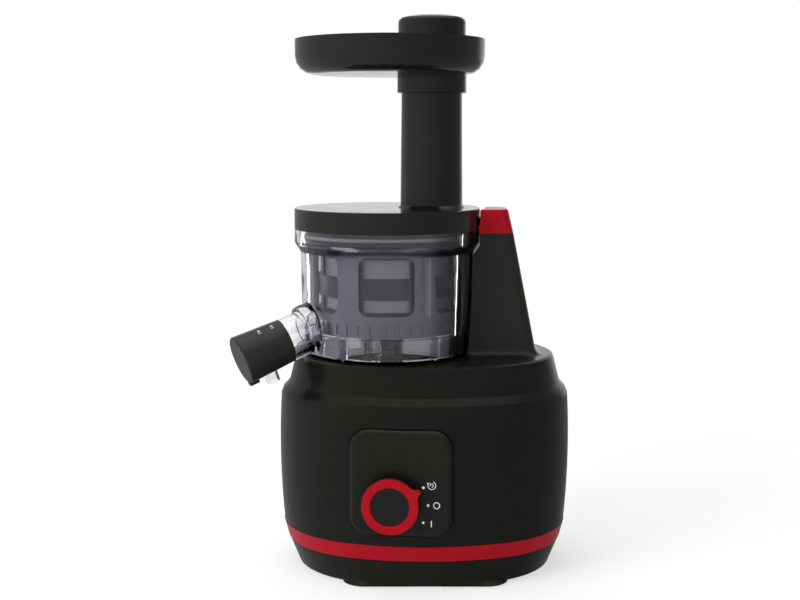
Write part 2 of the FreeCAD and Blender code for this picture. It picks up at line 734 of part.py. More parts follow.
# Primitives for the plain turned pieces.
def make_disc(label, radius, rise, across, along, up, keep=True):
    disc = doc.addObject("Part::Cylinder", label)
    disc.Label = label
    disc.setExpression("Radius", radius.text)
    disc.setExpression("Height", rise.text)
    disc.setExpression(".Placement.Base.x", as_size(across).text)
    disc.setExpression(".Placement.Base.y", as_size(along).text)
    disc.setExpression(".Placement.Base.z", as_size(up).text)
    return disc


def join_all(label, pieces):
    group = doc.addObject("Part::Compound", label)
    group.Label = label
    group.Links = pieces
    doc.recompute()
    return group


def four_corners(reach_x, reach_y):
    places = []
    for side in (-1, 1):
        for end in (-1, 1):
            places.append((base_x + reach_x * side, drive_y + reach_y * end))
    return places


# Rubber feet in the recesses of the plinth.
discs = []
for number, (across, along) in enumerate(four_corners(size("foot_inset_x"), size("foot_inset_y"))):
    discs.append(make_disc("foot_disc_%d" % number, size("foot_radius"), size("foot_rise"),
                           across, along, 0))
feet = join_all("rubber_feet", discs)

# Case screws, driven up through the bosses.
head_z = pan_z + size("screw_head")
screws = []
for number, (across, along) in enumerate(four_corners(size("boss_inset_x"), size("boss_inset_y"))):
    head = make_disc("screw_head_%d" % number, size("screw_head"), size("screw_head") * 0.7,
                     across, along, head_z - size("screw_head") * 0.7)
    stem = make_disc("screw_stem_%d" % number, size("screw_radius"), band_z - head_z,
                     across, along, head_z)
    whole = doc.addObject("Part::Fuse", "case_screw_%d" % number)
    whole.Base = head
    whole.Tool = stem
    screws.append(whole)
case_screws = join_all("case_screws", screws)

# Red trim band, a little proud of the mouldings above and below it.
band = make_body("trim_band", base_x, drive_y)
proud = gap
band_low = oval_sketch(band, "low", band_z, size("band_half_length") + proud,
                       size("band_half_width") + proud)
band_high = oval_sketch(band, "high", rim_z, size("rim_half_length") + proud,
                        size("rim_half_width") + proud)
add_loft(band, [band_low, band_high])
band_low = oval_sketch(band, "inner_low", band_z, size("band_half_length") - wall,
                       size("band_half_width") - wall)
band_high = oval_sketch(band, "inner_high", rim_z, size("rim_half_length") - wall,
                        size("rim_half_width") - wall)
add_loft(band, [band_low, band_high], cut=True)

# Direction of the control panel, square to the barrel where it sits.
belly_end = size("end_share") * size("belly_half_width")
belly_reach = size("belly_half_length") - belly_end
belly_side = belly_reach * belly_reach + size("belly_half_width") * size("belly_half_width")
belly_side = (belly_side - belly_end * belly_end) / ((size("belly_half_width") - belly_end) * 2)
panel_angle = math.radians(size("panel_turn").value)
panel_across = FreeCAD.Vector(math.cos(panel_angle), -math.sin(panel_angle), 0)
panel_out = FreeCAD.Vector(-math.sin(panel_angle), -math.cos(panel_angle), 0)
panel_up = FreeCAD.Vector(0, 0, 1)
panel_rotation = FreeCAD.Rotation(panel_across, panel_up, panel_out, "ZXY")
panel_radius = belly_side.value + size("panel_proud").value
panel_centre = FreeCAD.Vector(0, belly_side.value - size("belly_half_width").value, 0)
panel_face = panel_centre + panel_out * panel_radius


def panel_frame(depth, level, shift=0.0):
    spot = panel_face - panel_out * depth + panel_across * shift
    return FreeCAD.Placement(FreeCAD.Vector(spot.x, spot.y, level), panel_rotation)


def panel_place(depth, level, shift=0.0):
    place = panel_frame(depth, level, shift)
    place.Base = place.Base + FreeCAD.Vector(base_x.value, drive_y.value, 0)
    return place


def panel_sketch(body, name, depth, margin):
    frame = panel_frame(depth.value, size("panel_level").value)
    sketch = make_sketch(body, name, "XY_Plane", None, frame)
    half = size("panel_width") / 2 + margin
    high = size("panel_rise") / 2 + margin
    rounded_sketch(sketch, -half, half, -high, high, size("panel_corner"))
    return sketch


# Barrel of the base, with the seat of the control panel in its front.
housing = make_body("base_housing", base_x, drive_y)
barrel = [
    oval_sketch(housing, "rim", rim_z, size("rim_half_length"), size("rim_half_width")),
    oval_sketch(housing, "belly", belly_z, size("belly_half_length"), size("belly_half_width")),
    oval_sketch(housing, "top", barrel_z, size("barrel_half_length"), size("barrel_half_width")),
]
add_loft(housing, barrel, ruled=False)
hollow = [
    oval_sketch(housing, "hollow_rim", rim_z, size("rim_half_length") - wall,
                size("rim_half_width") - wall),
    oval_sketch(housing, "hollow_belly", belly_z, size("belly_half_length") - wall,
                size("belly_half_width") - wall),
    oval_sketch(housing, "hollow_top", barrel_z, size("barrel_half_length") - wall,
                size("barrel_half_width") - wall),
]
add_loft(housing, hollow, cut=True, ruled=False)
backing = panel_sketch(housing, "backing", size("panel_depth") + wall, size("panel_margin"))
add_pad(housing, backing, wall)
seat = panel_sketch(housing, "panel_seat", size("panel_depth"), gap)
add_cut(housing, seat, size("panel_depth") * 2, reverse=True)
hole_frame = panel_frame(0.0, size("knob_level").value, size("knob_shift").value)
spindle_hole = make_sketch(housing, "spindle_hole", "XY_Plane", None, hole_frame)
draw_circle(spindle_hole, 0, 0, size("spindle_radius") + gap)
add_cut(housing, spindle_hole, size("panel_depth") * 2)
rear_rotation = FreeCAD.Rotation(FreeCAD.Vector(-1, 0, 0), FreeCAD.Vector(0, 0, 1),
                                 FreeCAD.Vector(0, 1, 0), "ZXY")
rear_face = size("belly_half_width").value
rear_frame = FreeCAD.Placement(FreeCAD.Vector(0, rear_face, size("cord_level").value), rear_rotation)
cord_hole = make_sketch(housing, "cord_hole", "XY_Plane", None, rear_frame)
draw_circle(cord_hole, 0, 0, size("cord_bush_radius") + fit)
add_cut(housing, cord_hole, size("housing_wall") * 3)

# Cord bush in the rear wall, its bore open to the outside.
bush = make_body("cord_bush")
rear_place = FreeCAD.Placement(rear_frame)
rear_place.Base = rear_place.Base + FreeCAD.Vector(base_x.value, drive_y.value, 0)
bush.Placement = rear_place
bush_stem = make_sketch(bush, "stem", "XY_Plane", wall * -2)
draw_circle(bush_stem, 0, 0, size("cord_bush_radius"))
add_pad(bush, bush_stem, wall * 2 + size("cord_bush_rise"))
bush_lip = make_sketch(bush, "lip", "XY_Plane", gap)
draw_circle(bush_lip, 0, 0, size("cord_bush_radius") + wall / 2)
add_pad(bush, bush_lip, wall / 2)
bush_bore = make_sketch(bush, "bore", "XY_Plane", size("cord_bush_rise"))
draw_circle(bush_bore, 0, 0, size("cord_bore"))
add_cut(bush, bush_bore, wall * 2 + size("cord_bush_rise"))

# Control panel, a rounded pad with a round opening for the spindle.
panel = make_body("control_panel")
panel.Placement = panel_place(0.0, size("panel_level").value)
pad_outline = make_sketch(panel, "outline", "XY_Plane")
rounded_sketch(pad_outline, size("panel_width") / -2, size("panel_width") / 2,
               size("panel_rise") / -2, size("panel_rise") / 2, size("panel_corner"))
add_pad(panel, pad_outline, size("panel_depth"), reverse=True)
add_fillet(panel, lambda edge: is_level_edge(edge, 0.0), size("panel_edge"), "panel_edge_round")
panel_hole = make_sketch(panel, "spindle_hole", "XY_Plane")
draw_circle(panel_hole, size("knob_shift"), size("knob_level") - size("panel_level"),
            size("spindle_radius") + gap)
add_cut(panel, panel_hole, size("panel_depth"))

# Knob: grooved black skirt, red ring with its pointer, steel spindle.
knob = make_body("knob_body")
knob.Placement = panel_place(-size("seat_gap").value, size("knob_level").value,
                             size("knob_shift").value)
knob_disc = make_sketch(knob, "skirt", "XY_Plane")
draw_circle(knob_disc, 0, 0, size("knob_radius"))
add_pad(knob, knob_disc, size("knob_rise"))
knob_face = make_sketch(knob, "face", "XY_Plane", size("knob_rise"))
draw_circle(knob_face, 0, 0, size("ring_bore") - fit)
add_pad(knob, knob_face, size("disc_rise"))
groove_sketch = make_sketch(knob, "groove", "XY_Plane")
groove_half = size("knob_groove") * 1.2
draw_outline(groove_sketch, [
    (size("knob_radius") - size("knob_groove"), groove_half * -0.5),
    (size("knob_radius") + size("knob_groove"), groove_half * -1.5),
    (size("knob_radius") + size("knob_groove"), groove_half * 1.5),
    (size("knob_radius") - size("knob_groove"), groove_half * 0.5),
])
knob_groove = add_cut(knob, groove_sketch, size("knob_rise"), reverse=True)
add_pattern(knob, [knob_groove], size("knob_ribs"), "knob_grooves")
knob_bore = make_sketch(knob, "bore", "XY_Plane")
draw_circle(knob_bore, 0, 0, size("spindle_radius") + fit)
add_cut(knob, knob_bore, size("knob_rise") * 0.8, reverse=True)

ring = make_body("knob_ring")
ring.Placement = knob.Placement
ring_disc = make_sketch(ring, "disc", "XY_Plane", size("knob_rise"))
draw_circle(ring_disc, 0, 0, size("ring_radius"))
add_pad(ring, ring_disc, size("ring_rise"))
pointer_angle = size("pointer_turn").value
pointer_frame = FreeCAD.Placement(FreeCAD.Vector(0, 0, size("knob_rise").value),
                                  FreeCAD.Rotation(FreeCAD.Vector(0, 0, 1), pointer_angle))
pointer = make_sketch(ring, "pointer", "XY_Plane", None, pointer_frame)
pointer_step = (size("pointer_reach") - size("ring_radius")) / 3
draw_outline(pointer, [
    (size("ring_radius") - size("ring_rise"), size("pointer_root") / -2),
    (size("ring_radius"), size("pointer_root") * -0.31),
    (size("ring_radius") + pointer_step, size("pointer_root") * -0.2),
    (size("ring_radius") + pointer_step * 2, size("pointer_tip") * -0.65),
    (size("pointer_reach"), size("pointer_tip") / -2),
    (size("pointer_reach"), size("pointer_tip") / 2),
    (size("ring_radius") + pointer_step * 2, size("pointer_tip") * 0.65),
    (size("ring_radius") + pointer_step, size("pointer_root") * 0.2),
    (size("ring_radius"), size("pointer_root") * 0.31),
    (size("ring_radius") - size("ring_rise"), size("pointer_root") / 2),
])
add_pad(ring, pointer, size("ring_rise"))
ring_hole = make_sketch(ring, "hole", "XY_Plane", size("knob_rise"))
draw_circle(ring_hole, 0, 0, size("ring_bore"))
add_cut(ring, ring_hole, size("ring_rise"), reverse=True)
ring_top = (size("knob_rise") + size("ring_rise")).value
add_fillet(ring, lambda edge: is_level_edge(edge, ring_top), size("ring_rise") / 4, "ring_edges")

spindle = make_body("knob_spindle")
spindle.Placement = knob.Placement
spindle_back = size("panel_depth") + wall + size("switch_depth") / 2
spindle_disc = make_sketch(spindle, "rod", "XY_Plane", spindle_back * -1)
draw_circle(spindle_disc, 0, 0, size("spindle_radius"))
add_pad(spindle, spindle_disc, spindle_back + size("knob_rise") * 0.8 - gap)

switch = make_body("rotary_switch")
switch.Placement = panel_place(0.0, size("knob_level").value, size("knob_shift").value)
switch_block = make_sketch(switch, "block", "XY_Plane", (size("panel_depth") + wall) * -1)
half = size("switch_side") / 2
rounded_sketch(switch_block, -half, half, -half, half, size("spindle_radius"))
add_pad(switch, switch_block, size("switch_depth"), reverse=True)
switch_bore = make_sketch(switch, "bore", "XY_Plane", (size("panel_depth") + wall) * -1)
draw_circle(switch_bore, 0, 0, size("spindle_radius") + fit)
add_cut(switch, switch_bore, size("switch_depth") / 2 + gap * 2)


# Offset of the drive axis inside a body that stands on the base centre.
drive_frame = FreeCAD.Placement(FreeCAD.Vector(-size("base_offset").value, 0, 0), FreeCAD.Rotation())
clear = size("column_gap")


def bowl_clearance(body, name, top):
    sketch = make_sketch(body, name, "XZ_Plane", None, drive_frame)
    sketch.setExpression(".AttachmentOffset.Base.x", (size("base_offset") * -1).text)
    draw_outline(sketch, [
        (0, deck_z),
        (size("bowl_floor_radius") + clear, deck_z),
        (size("bowl_wall_radius") + clear, deck_z + size("step_level")),
        (size("bowl_neck_radius") + clear, deck_z + size("neck_level") - clear),
        (size("rim_radius") + clear, deck_z + size("flange_level") - clear),
        (size("rim_radius") + clear, top + clear),
        (0, top + clear),
    ])
    return add_turn(body, sketch, cut=True)


def column_section(body, name, up, reach, half_width):
    sketch = make_sketch(body, name, "XY_Plane", up)
    near = size("bowl_floor_radius") - size("base_offset") - size("column_corner")
    rounded_sketch(sketch, near, reach - size("base_offset"), -half_width, half_width,
                   size("column_corner"))
    return sketch


# Top cover: shoulder, step, cone, deck and the column beside the bowl.
cover = make_body("top_cover", base_x, drive_y)
deck_edge = size("deck_edge")
rings = [
    oval_sketch(cover, "barrel", barrel_z, size("barrel_half_length"), size("barrel_half_width")),
    oval_sketch(cover, "shoulder", shoulder_z, size("shoulder_half_length"),
                size("shoulder_half_width")),
    oval_sketch(cover, "neck", neck_z, size("neck_half_length"), size("neck_half_width")),
    oval_sketch(cover, "deck_low", deck_z - deck_edge, size("deck_half_length"),
                size("deck_half_width")),
    oval_sketch(cover, "deck_turn", deck_z - deck_edge * 0.3,
                size("deck_half_length") - deck_edge * 0.3,
                size("deck_half_width") - deck_edge * 0.3),
    oval_sketch(cover, "deck", deck_z, size("deck_half_length") - deck_edge,
                size("deck_half_width") - deck_edge),
]
add_loft(cover, rings)
deck_level = deck_z.value
rings = [
    oval_sketch(cover, "hollow_barrel", barrel_z, size("barrel_half_length") - wall,
                size("barrel_half_width") - wall),
    oval_sketch(cover, "hollow_neck", neck_z - wall, size("neck_half_length") - wall,
                size("neck_half_width") - wall),
    oval_sketch(cover, "hollow_deck", deck_z - wall, size("deck_half_length") - wall,
                size("deck_half_width") - wall),
]
add_loft(cover, rings, cut=True)
column = [
    column_section(cover, "column_foot", deck_z - wall, size("column_foot_reach"),
                   size("column_foot_half")),
    column_section(cover, "column_top", column_z, size("column_top_reach"),
                   size("column_top_half")),
]
add_loft(cover, column)
reach_limit = (size("column_foot_reach") - size("base_offset")).value
half_limit = size("column_foot_half").value


def is_column_foot(edge):
    if not is_level_edge(edge, deck_level):
        return False
    box = edge.BoundBox
    return box.XMin > 0 and box.XMax < reach_limit + 0.2 and abs(box.YMax) < half_limit + 0.2


add_fillet(cover, is_column_foot, size("column_flare"), "column_flare_round")
bowl_clearance(cover, "bowl_room", column_z)
drive_hole = make_sketch(cover, "drive_hole", "XY_Plane", deck_z + wall)
draw_circle(drive_hole, size("base_offset") * -1, 0, size("bush_radius") - size("bush_flange"))
add_cut(cover, drive_hole, wall * 3)

# Red cap of the column, notched behind for the locking tab of the lid.
cap = make_body("column_cap", base_x, drive_y)
cap_sections = [
    column_section(cap, "foot", column_z, size("column_top_reach"), size("column_top_half")),
    column_section(cap, "top", cap_z, size("cap_top_reach"), size("cap_top_half")),
]
add_loft(cap, cap_sections)
bowl_clearance(cap, "lid_room", cap_z)
notch = make_sketch(cap, "tab_notch", "XY_Plane",
                    bowl_rim_z + size("lid_tab_rise") * 0.3 - gap * 2)
notch_reach = size("rim_radius") + size("lid_tab_reach") + clear - size("base_offset")
draw_outline(notch, [
    (size("bowl_floor_radius") - size("base_offset"), size("lid_tab_width") * -0.5 - clear),
    (notch_reach, size("lid_tab_width") * -0.5 - clear),
    (notch_reach, size("column_top_half") + clear),
    (size("bowl_floor_radius") - size("base_offset"), size("column_top_half") + clear),
])
add_cut(cap, notch, size("cap_rise"), reverse=True)
cap_level = cap_z.value
add_fillet(cap, lambda edge: is_level_edge(edge, cap_level), size("cap_edge"), "cap_round")


# Frame whose Z points out of the bowl along the spout, on the bowl wall.
spout_angle = math.radians(size("spout_turn").value)
dip = math.radians(size("spout_dip").value)
spout_out = FreeCAD.Vector(math.cos(spout_angle) * math.cos(dip),
                           math.sin(spout_angle) * math.cos(dip), -math.sin(dip))
spout_up = FreeCAD.Vector(math.cos(spout_angle) * math.sin(dip),
                          math.sin(spout_angle) * math.sin(dip), math.cos(dip))
spout_side = spout_up.cross(spout_out)
spout_rotation = FreeCAD.Rotation(spout_side, spout_up, spout_out, "ZXY")
wall_radius = size("bowl_wall_radius").value
spout_root = FreeCAD.Vector(wall_radius * math.cos(spout_angle), wall_radius * math.sin(spout_angle),
                            (deck_z + size("spout_level")).value)
spout_inset = size("bowl_step_radius") - size("cage_radius") + size("cage_wall")


def spout_frame(along):
    return FreeCAD.Placement(spout_root + spout_out * along, spout_rotation)


# Place of the pouring port along the spout, its Z pointing down out of the side.
port_place = FreeCAD.Placement(FreeCAD.Vector(0, 0, size("port_reach").value),
                               FreeCAD.Rotation(FreeCAD.Vector(1, 0, 0), 90))

# Frame whose Z points out of the bowl along the pulp outlet.
pulp_angle = math.radians(size("pulp_turn").value)
pulp_out = FreeCAD.Vector(math.cos(pulp_angle), math.sin(pulp_angle), 0)
pulp_rotation = FreeCAD.Rotation(FreeCAD.Vector(0, 0, 1).cross(pulp_out), FreeCAD.Vector(0, 0, 1),
                                 pulp_out, "ZXY")
pulp_start = size("cage_radius")
pulp_frame = FreeCAD.Placement(pulp_out * pulp_start.value + FreeCAD.Vector(0, 0, deck_z.value),
                               pulp_rotation)

# Juice bowl: turned shell, flared rim, spout, pulp outlet, sleeve and idler pin.
bowl = make_body("juice_bowl", drive_x, drive_y)
inside = size("bowl_wall")
ring_profile(bowl, "outside", [
    (0, deck_z),
    (size("bowl_floor_radius"), deck_z),
    (size("bowl_step_radius"), deck_z + size("step_level")),
    (size("bowl_wall_radius"), deck_z + size("step_level") + gap * 3),
    (size("bowl_neck_radius"), deck_z + size("neck_level")),
    (size("rim_radius"), deck_z + size("flange_level")),
    (size("rim_radius"), bowl_rim_z),
    (0, bowl_rim_z),
])
floor_radius = size("bowl_floor_radius").value
add_fillet(bowl, lambda edge: is_round_edge(edge, deck_level, floor_radius),
           size("bowl_foot_edge"), "bowl_foot_round")
collar_sketch = make_sketch(bowl, "spout_collar", "XY_Plane", None, spout_frame(-spout_inset.value))
draw_circle(collar_sketch, 0, 0, size("spout_radius") + size("spout_root_flare"))
add_pad(bowl, collar_sketch, spout_inset + size("spout_root_flare"))
tube_sketch = make_sketch(bowl, "spout_tube", "XY_Plane", None, spout_frame(-spout_inset.value))
draw_circle(tube_sketch, 0, 0, size("spout_radius"))
tube_length = size("spout_reach") + size("spout_end_wall") + gap - size("spout_cap_length")
add_pad(bowl, tube_sketch, spout_inset + tube_length)
spigot_sketch = make_sketch(bowl, "spout_spigot", "XY_Plane", None, spout_frame(-spout_inset.value))
draw_circle(spigot_sketch, 0, 0, size("spigot_radius"))
add_pad(bowl, spigot_sketch, spout_inset + size("spout_reach"))
duct_sketch = make_sketch(bowl, "pulp_duct", "XY_Plane", None, pulp_frame)
pulp_half = size("pulp_width") / 2
rounded_sketch(duct_sketch, -pulp_half, pulp_half, gap * 4, gap * 4 + size("pulp_height"),
               size("pulp_wall") + gap * 4)
add_pad(bowl, duct_sketch, size("pulp_reach") - pulp_start)
ring_profile(bowl, "inside", [
    (size("sleeve_bore") + size("sleeve_wall"), bowl_inside_z),
    (size("bowl_floor_radius") - inside, bowl_inside_z),
    (size("bowl_step_radius") - inside, deck_z + size("step_level")),
    (size("bowl_wall_radius") - inside, deck_z + size("step_level") + gap * 3),
    (size("bowl_neck_radius") - inside, deck_z + size("neck_level")),
    (size("bowl_neck_radius") - inside, ledge_z),
    (size("bowl_neck_radius") - inside + size("ledge_width"), ledge_z),
    (size("rim_radius") - inside - gap, bowl_rim_z + gap),
    (0, bowl_rim_z + gap),
    (0, sleeve_top_z),
    (size("sleeve_bore") + size("sleeve_wall"), sleeve_top_z),
], cut=True)
bore_sketch = make_sketch(bowl, "spout_bore", "XY_Plane", None, spout_frame(-spout_inset.value))
draw_circle(bore_sketch, 0, 0, size("spigot_radius") - size("spout_wall"))
add_cut(bowl, bore_sketch, spout_inset + size("spout_reach") - size("spout_end_wall"), reverse=True)
port_sketch = make_sketch(bowl, "spout_port", "XY_Plane", None,
                          spout_frame(0.0).multiply(port_place))
draw_circle(port_sketch, 0, 0, size("port_radius"))
add_cut(bowl, port_sketch, size("spigot_radius") + gap, reverse=True)
seal_frame = spout_frame(size("spout_reach").value / 2)
ring_groove = make_sketch(bowl, "ring_groove", "XY_Plane", None, seal_frame)
draw_circle(ring_groove, 0, 0, size("spigot_radius") + fit)
draw_circle(ring_groove, 0, 0, size("spigot_radius") - size("spout_ring") * 2)
add_cut(bowl, ring_groove, size("spout_ring") * 2 + gap, both=True)
duct_bore = make_sketch(bowl, "pulp_bore", "XY_Plane", None, pulp_frame)
rounded_sketch(duct_bore, size("pulp_wall") - pulp_half, pulp_half - size("pulp_wall"),
               gap * 4 + size("pulp_wall"), gap * 4 + size("pulp_height") - size("pulp_wall"),
               gap * 4)
add_cut(bowl, duct_bore, size("pulp_reach") - pulp_start + gap, reverse=True)
sleeve_sketch = make_sketch(bowl, "sleeve_bore", "XY_Plane", sleeve_top_z)
draw_circle(sleeve_sketch, 0, 0, size("sleeve_bore"))
add_cut(bowl, sleeve_sketch, sleeve_top_z - deck_z)
idler_across = idler_reach * math.cos(idler_angle)
idler_along = idler_reach * math.sin(idler_angle)
shoulder_sketch = make_sketch(bowl, "idler_shoulder", "XY_Plane", bowl_inside_z)
draw_circle(shoulder_sketch, idler_across, idler_along, size("idler_pin") * 2)
add_pad(bowl, shoulder_sketch, gear_z - gap - bowl_inside_z)
pin_sketch = make_sketch(bowl, "idler_pin", "XY_Plane", bowl_inside_z)
draw_circle(pin_sketch, idler_across, idler_along, size("idler_pin"))
add_pad(bowl, pin_sketch, gear_top_z - bowl_inside_z)
rest_sketch = make_sketch(bowl, "cage_rests", "XY_Plane", bowl_inside_z)
rest_far = (size("bowl_floor_radius") - inside / 2).value
rest_near = rest_far - size("rest_width").value
rest_half = size("rest_thick").value / 2
for number in range(count("rest_count")):
    draw_free(rest_sketch, turn_points([
        (rest_near, -rest_half),
        (rest_far, -rest_half),
        (rest_far, rest_half),
        (rest_near, rest_half),
    ], size("rest_turn").value + 360.0 / count("rest_count") * number))
add_pad(bowl, rest_sketch, size("cage_foot") - size("bowl_floor") - gap)
plug_reach = size("cage_radius") - size("pulp_width") / 2
plug_across = plug_reach * math.cos(pulp_angle)
plug_along = plug_reach * math.sin(pulp_angle)
plug_hole = make_sketch(bowl, "plug_hole", "XY_Plane", bowl_inside_z)
draw_circle(plug_hole, plug_across, plug_along, size("port_radius"))
add_cut(bowl, plug_hole, size("bowl_floor"))

# Rubber parts of the bowl: sleeve seal, drain plug and spout ring.
bowl_seal = make_body("bowl_seal", drive_x, drive_y)
ring_profile(bowl_seal, "section", [
    (size("sleeve_bore") - gap * 2, sleeve_top_z),
    (size("sleeve_bore") + size("sleeve_wall"), sleeve_top_z),
    (size("sleeve_bore") + size("sleeve_wall"), sleeve_top_z + gap * 3),
    (size("sleeve_bore") - gap * 2, sleeve_top_z + gap * 4),
])
pulp_plug = make_body("pulp_plug", drive_x, drive_y)
plug_stem = make_sketch(pulp_plug, "stem", "XY_Plane", deck_z + gap)
draw_circle(plug_stem, plug_across, plug_along, size("port_radius") - fit)
add_pad(pulp_plug, plug_stem, size("bowl_floor"))
plug_head = make_sketch(pulp_plug, "head", "XY_Plane", bowl_inside_z)
draw_circle(plug_head, plug_across, plug_along, size("port_radius") + size("pulp_wall"))
add_pad(pulp_plug, plug_head, gap * 4)
spout_seal = doc.addObject("Part::Torus", "spout_seal")
spout_seal.Label = "spout_seal"
spout_seal.setExpression("Radius1", (size("spigot_radius") + fit / 2 - size("spout_ring")).text)
spout_seal.setExpression("Radius2", size("spout_ring").text)
seal_frame.Base = seal_frame.Base + FreeCAD.Vector(drive_x.value, drive_y.value, 0)
spout_seal.Placement = seal_frame

# Spout cap: turned cup with a thumb tab, and a clear pouring nose in its side.
spout_cap = make_body("spout_cap")
cap_frame = spout_frame(0.0)
cap_frame.Base = cap_frame.Base + FreeCAD.Vector(drive_x.value, drive_y.value, 0)
spout_cap.Placement = cap_frame
cap_end = size("spout_reach") + gap + size("spout_cap_wall")
cap_mouth = cap_end - size("spout_cap_length")
ring_profile(spout_cap, "cup", [
    (0, cap_mouth),
    (size("spout_radius"), cap_mouth),
    (size("spout_cap_radius") - gap, cap_end - size("spout_cap_wall")),
    (size("spout_cap_radius") - gap, cap_end - gap * 3),
    (size("spout_cap_radius") - gap * 4, cap_end),
    (0, cap_end),
])
cup_bore = make_sketch(spout_cap, "bore", "XY_Plane", cap_mouth)
draw_circle(cup_bore, 0, 0, size("spigot_radius") + fit)
add_cut(spout_cap, cup_bore, size("spout_cap_length") - size("spout_cap_wall"), reverse=True)
thumb_sketch = make_sketch(spout_cap, "thumb_tab", "XY_Plane", cap_end - gap)
rounded_sketch(thumb_sketch, size("thumb_width") / -2, size("thumb_width") / 2,
               size("spout_cap_radius") * -1 - size("thumb_rise"),
               size("spout_cap_wall") - size("spout_cap_radius"), gap * 4)
add_pad(spout_cap, thumb_sketch, size("thumb_length"), reverse=True)
nose_hole = make_sketch(spout_cap, "nose_hole", "XY_Plane", None, port_place)
draw_circle(nose_hole, 0, 0, size("port_radius") + size("nose_wall") + fit)
add_cut(spout_cap, nose_hole, size("spout_cap_radius") + size("thumb_rise"), reverse=True)
nose = make_body("spout_nose")
nose.Placement = cap_frame.multiply(port_place)
nose_tube = make_sketch(nose, "tube", "XY_Plane", size("spigot_radius") + fit * 2)
draw_circle(nose_tube, 0, 0, size("port_radius") + size("nose_wall"))
add_pad(nose, nose_tube, size("spout_cap_radius") + size("nose_reach") - size("spigot_radius") - fit * 2)
nose_bore = make_sketch(nose, "bore", "XY_Plane", size("spigot_radius"))
draw_circle(nose_bore, 0, 0, size("port_radius"))
add_cut(nose, nose_bore, size("spout_cap_radius") + size("nose_reach"), reverse=True)

# Outline round the brush cage that dips in behind each tooth of its ring gear.
def groove_outline():
    high = (size("cage_radius") + gap).value
    low = (size("cage_radius") - size("core_depth")).value
    half = size("core_width").value / low / 2
    points = []
    for tooth in range(ring_teeth):
        middle = (tooth + 0.5) * 2 * math.pi / ring_teeth
        for radius, angle in ((high, middle - half), (low, middle - half),
                              (low, middle + half), (high, middle + half)):
            points.append((radius * math.cos(angle), radius * math.sin(angle)))
    return points


# Brush cage: windowed drum with an internal ring gear at its foot.
cage = make_body("brush_holder", drive_x, drive_y)
cage_outline = make_sketch(cage, "drum", "XY_Plane", deck_z + size("cage_foot"))
draw_circle(cage_outline, 0, 0, size("cage_radius"))
add_pad(cage, cage_outline, size("cage_head") - size("cage_foot"))
drum_bore = make_sketch(cage, "drum_bore", "XY_Plane", gear_top_z)
draw_circle(drum_bore, 0, 0, size("cage_radius") - size("cage_wall"))
add_cut(cage, drum_bore, size("cage_head") - size("gear_level"), reverse=True)
skirt_bore = make_sketch(cage, "skirt_bore", "XY_Plane", gear_z)
draw_circle(skirt_bore, 0, 0, size("cage_radius") - size("cage_wall"))
add_cut(cage, skirt_bore, size("gear_level"))
ring_sketch = make_sketch(cage, "ring_gear", "XY_Plane", gear_z)
ring_turn = size("idler_turn").value
if idler_teeth % 2 == 0:
    ring_turn = ring_turn + 180.0 / ring_teeth
ring_points = tooth_outline(ring_teeth, size("tooth_root").value, size("tooth_tip").value,
                            -size("tooth_play").value / 2)
draw_free(ring_sketch, turn_points(ring_points, ring_turn))
add_cut(cage, ring_sketch, size("gear_width") + gap, reverse=True)
window_sketch = make_sketch(cage, "window", "XZ_Plane")
window_half = size("cage_radius") * math.sin(math.radians(size("window_span").value / 2))
rounded_sketch(window_sketch, -window_half, window_half, deck_z + size("window_foot"),
               deck_z + size("window_head"), size("window_corner"))
window_cut = add_cut(cage, window_sketch, size("cage_radius") + gap)
add_pattern(cage, [window_cut], size("cage_windows"), "windows")
core_sketch = make_sketch(cage, "cored_grooves", "XY_Plane", gear_z + gap)
draw_circle(core_sketch, 0, 0, size("cage_radius") + gap * 4)
draw_free(core_sketch, turn_points(groove_outline(), ring_turn))
add_cut(cage, core_sketch, size("gear_width") - gap * 2, reverse=True)
blade_low = deck_z + size("window_foot")
blade_high = deck_z + size("window_head")
blade_slot = make_sketch(cage, "blade_slot", "XY_Plane", blade_low - fit)
bar_frame = FreeCAD.Rotation(FreeCAD.Vector(0, 0, 1), -90.0 + 180.0 / count("cage_windows"))
blade_slot.AttachmentOffset = FreeCAD.Placement(FreeCAD.Vector(0, 0, (blade_low - fit).value), bar_frame)
draw_outline(blade_slot, [
    (size("screen_radius"), size("blade_thick") / -2 - fit),
    (size("cage_radius") + gap, size("blade_thick") / -2 - fit),
    (size("cage_radius") + gap, size("blade_thick") / 2 + fit),
    (size("screen_radius"), size("blade_thick") / 2 + fit),
])
slot_cut = add_cut(cage, blade_slot, blade_high - blade_low + fit * 2, reverse=True)
add_pattern(cage, [slot_cut], size("blade_count"), "blade_slots")

# Silicone wiper blades through the bars of the cage.
blade_inner = size("screen_radius") + fit + size("strainer_wall") + gap
blade_outer = size("bowl_wall_radius") - inside - gap * 2
blades = []
for number in range(count("blade_count")):
    blade = doc.addObject("Part::Box", "wiper_%d" % number)
    blade.setExpression("Length", (blade_outer - blade_inner).text)
    blade.setExpression("Width", size("blade_thick").text)
    blade.setExpression("Height", (blade_high - blade_low).text)
    turn = FreeCAD.Rotation(FreeCAD.Vector(0, 0, 1), -90.0 + 180.0 / count("cage_windows")
                            + 360.0 * number / count("blade_count"))
    spot = turn.multVec(FreeCAD.Vector(blade_inner.value, -size("blade_thick").value / 2,
                                       blade_low.value))
    blade.Placement = FreeCAD.Placement(
        spot + FreeCAD.Vector(drive_x.value, drive_y.value, 0), turn)
    blades.append(blade)
wipers = join_all("wiper_blades", blades)

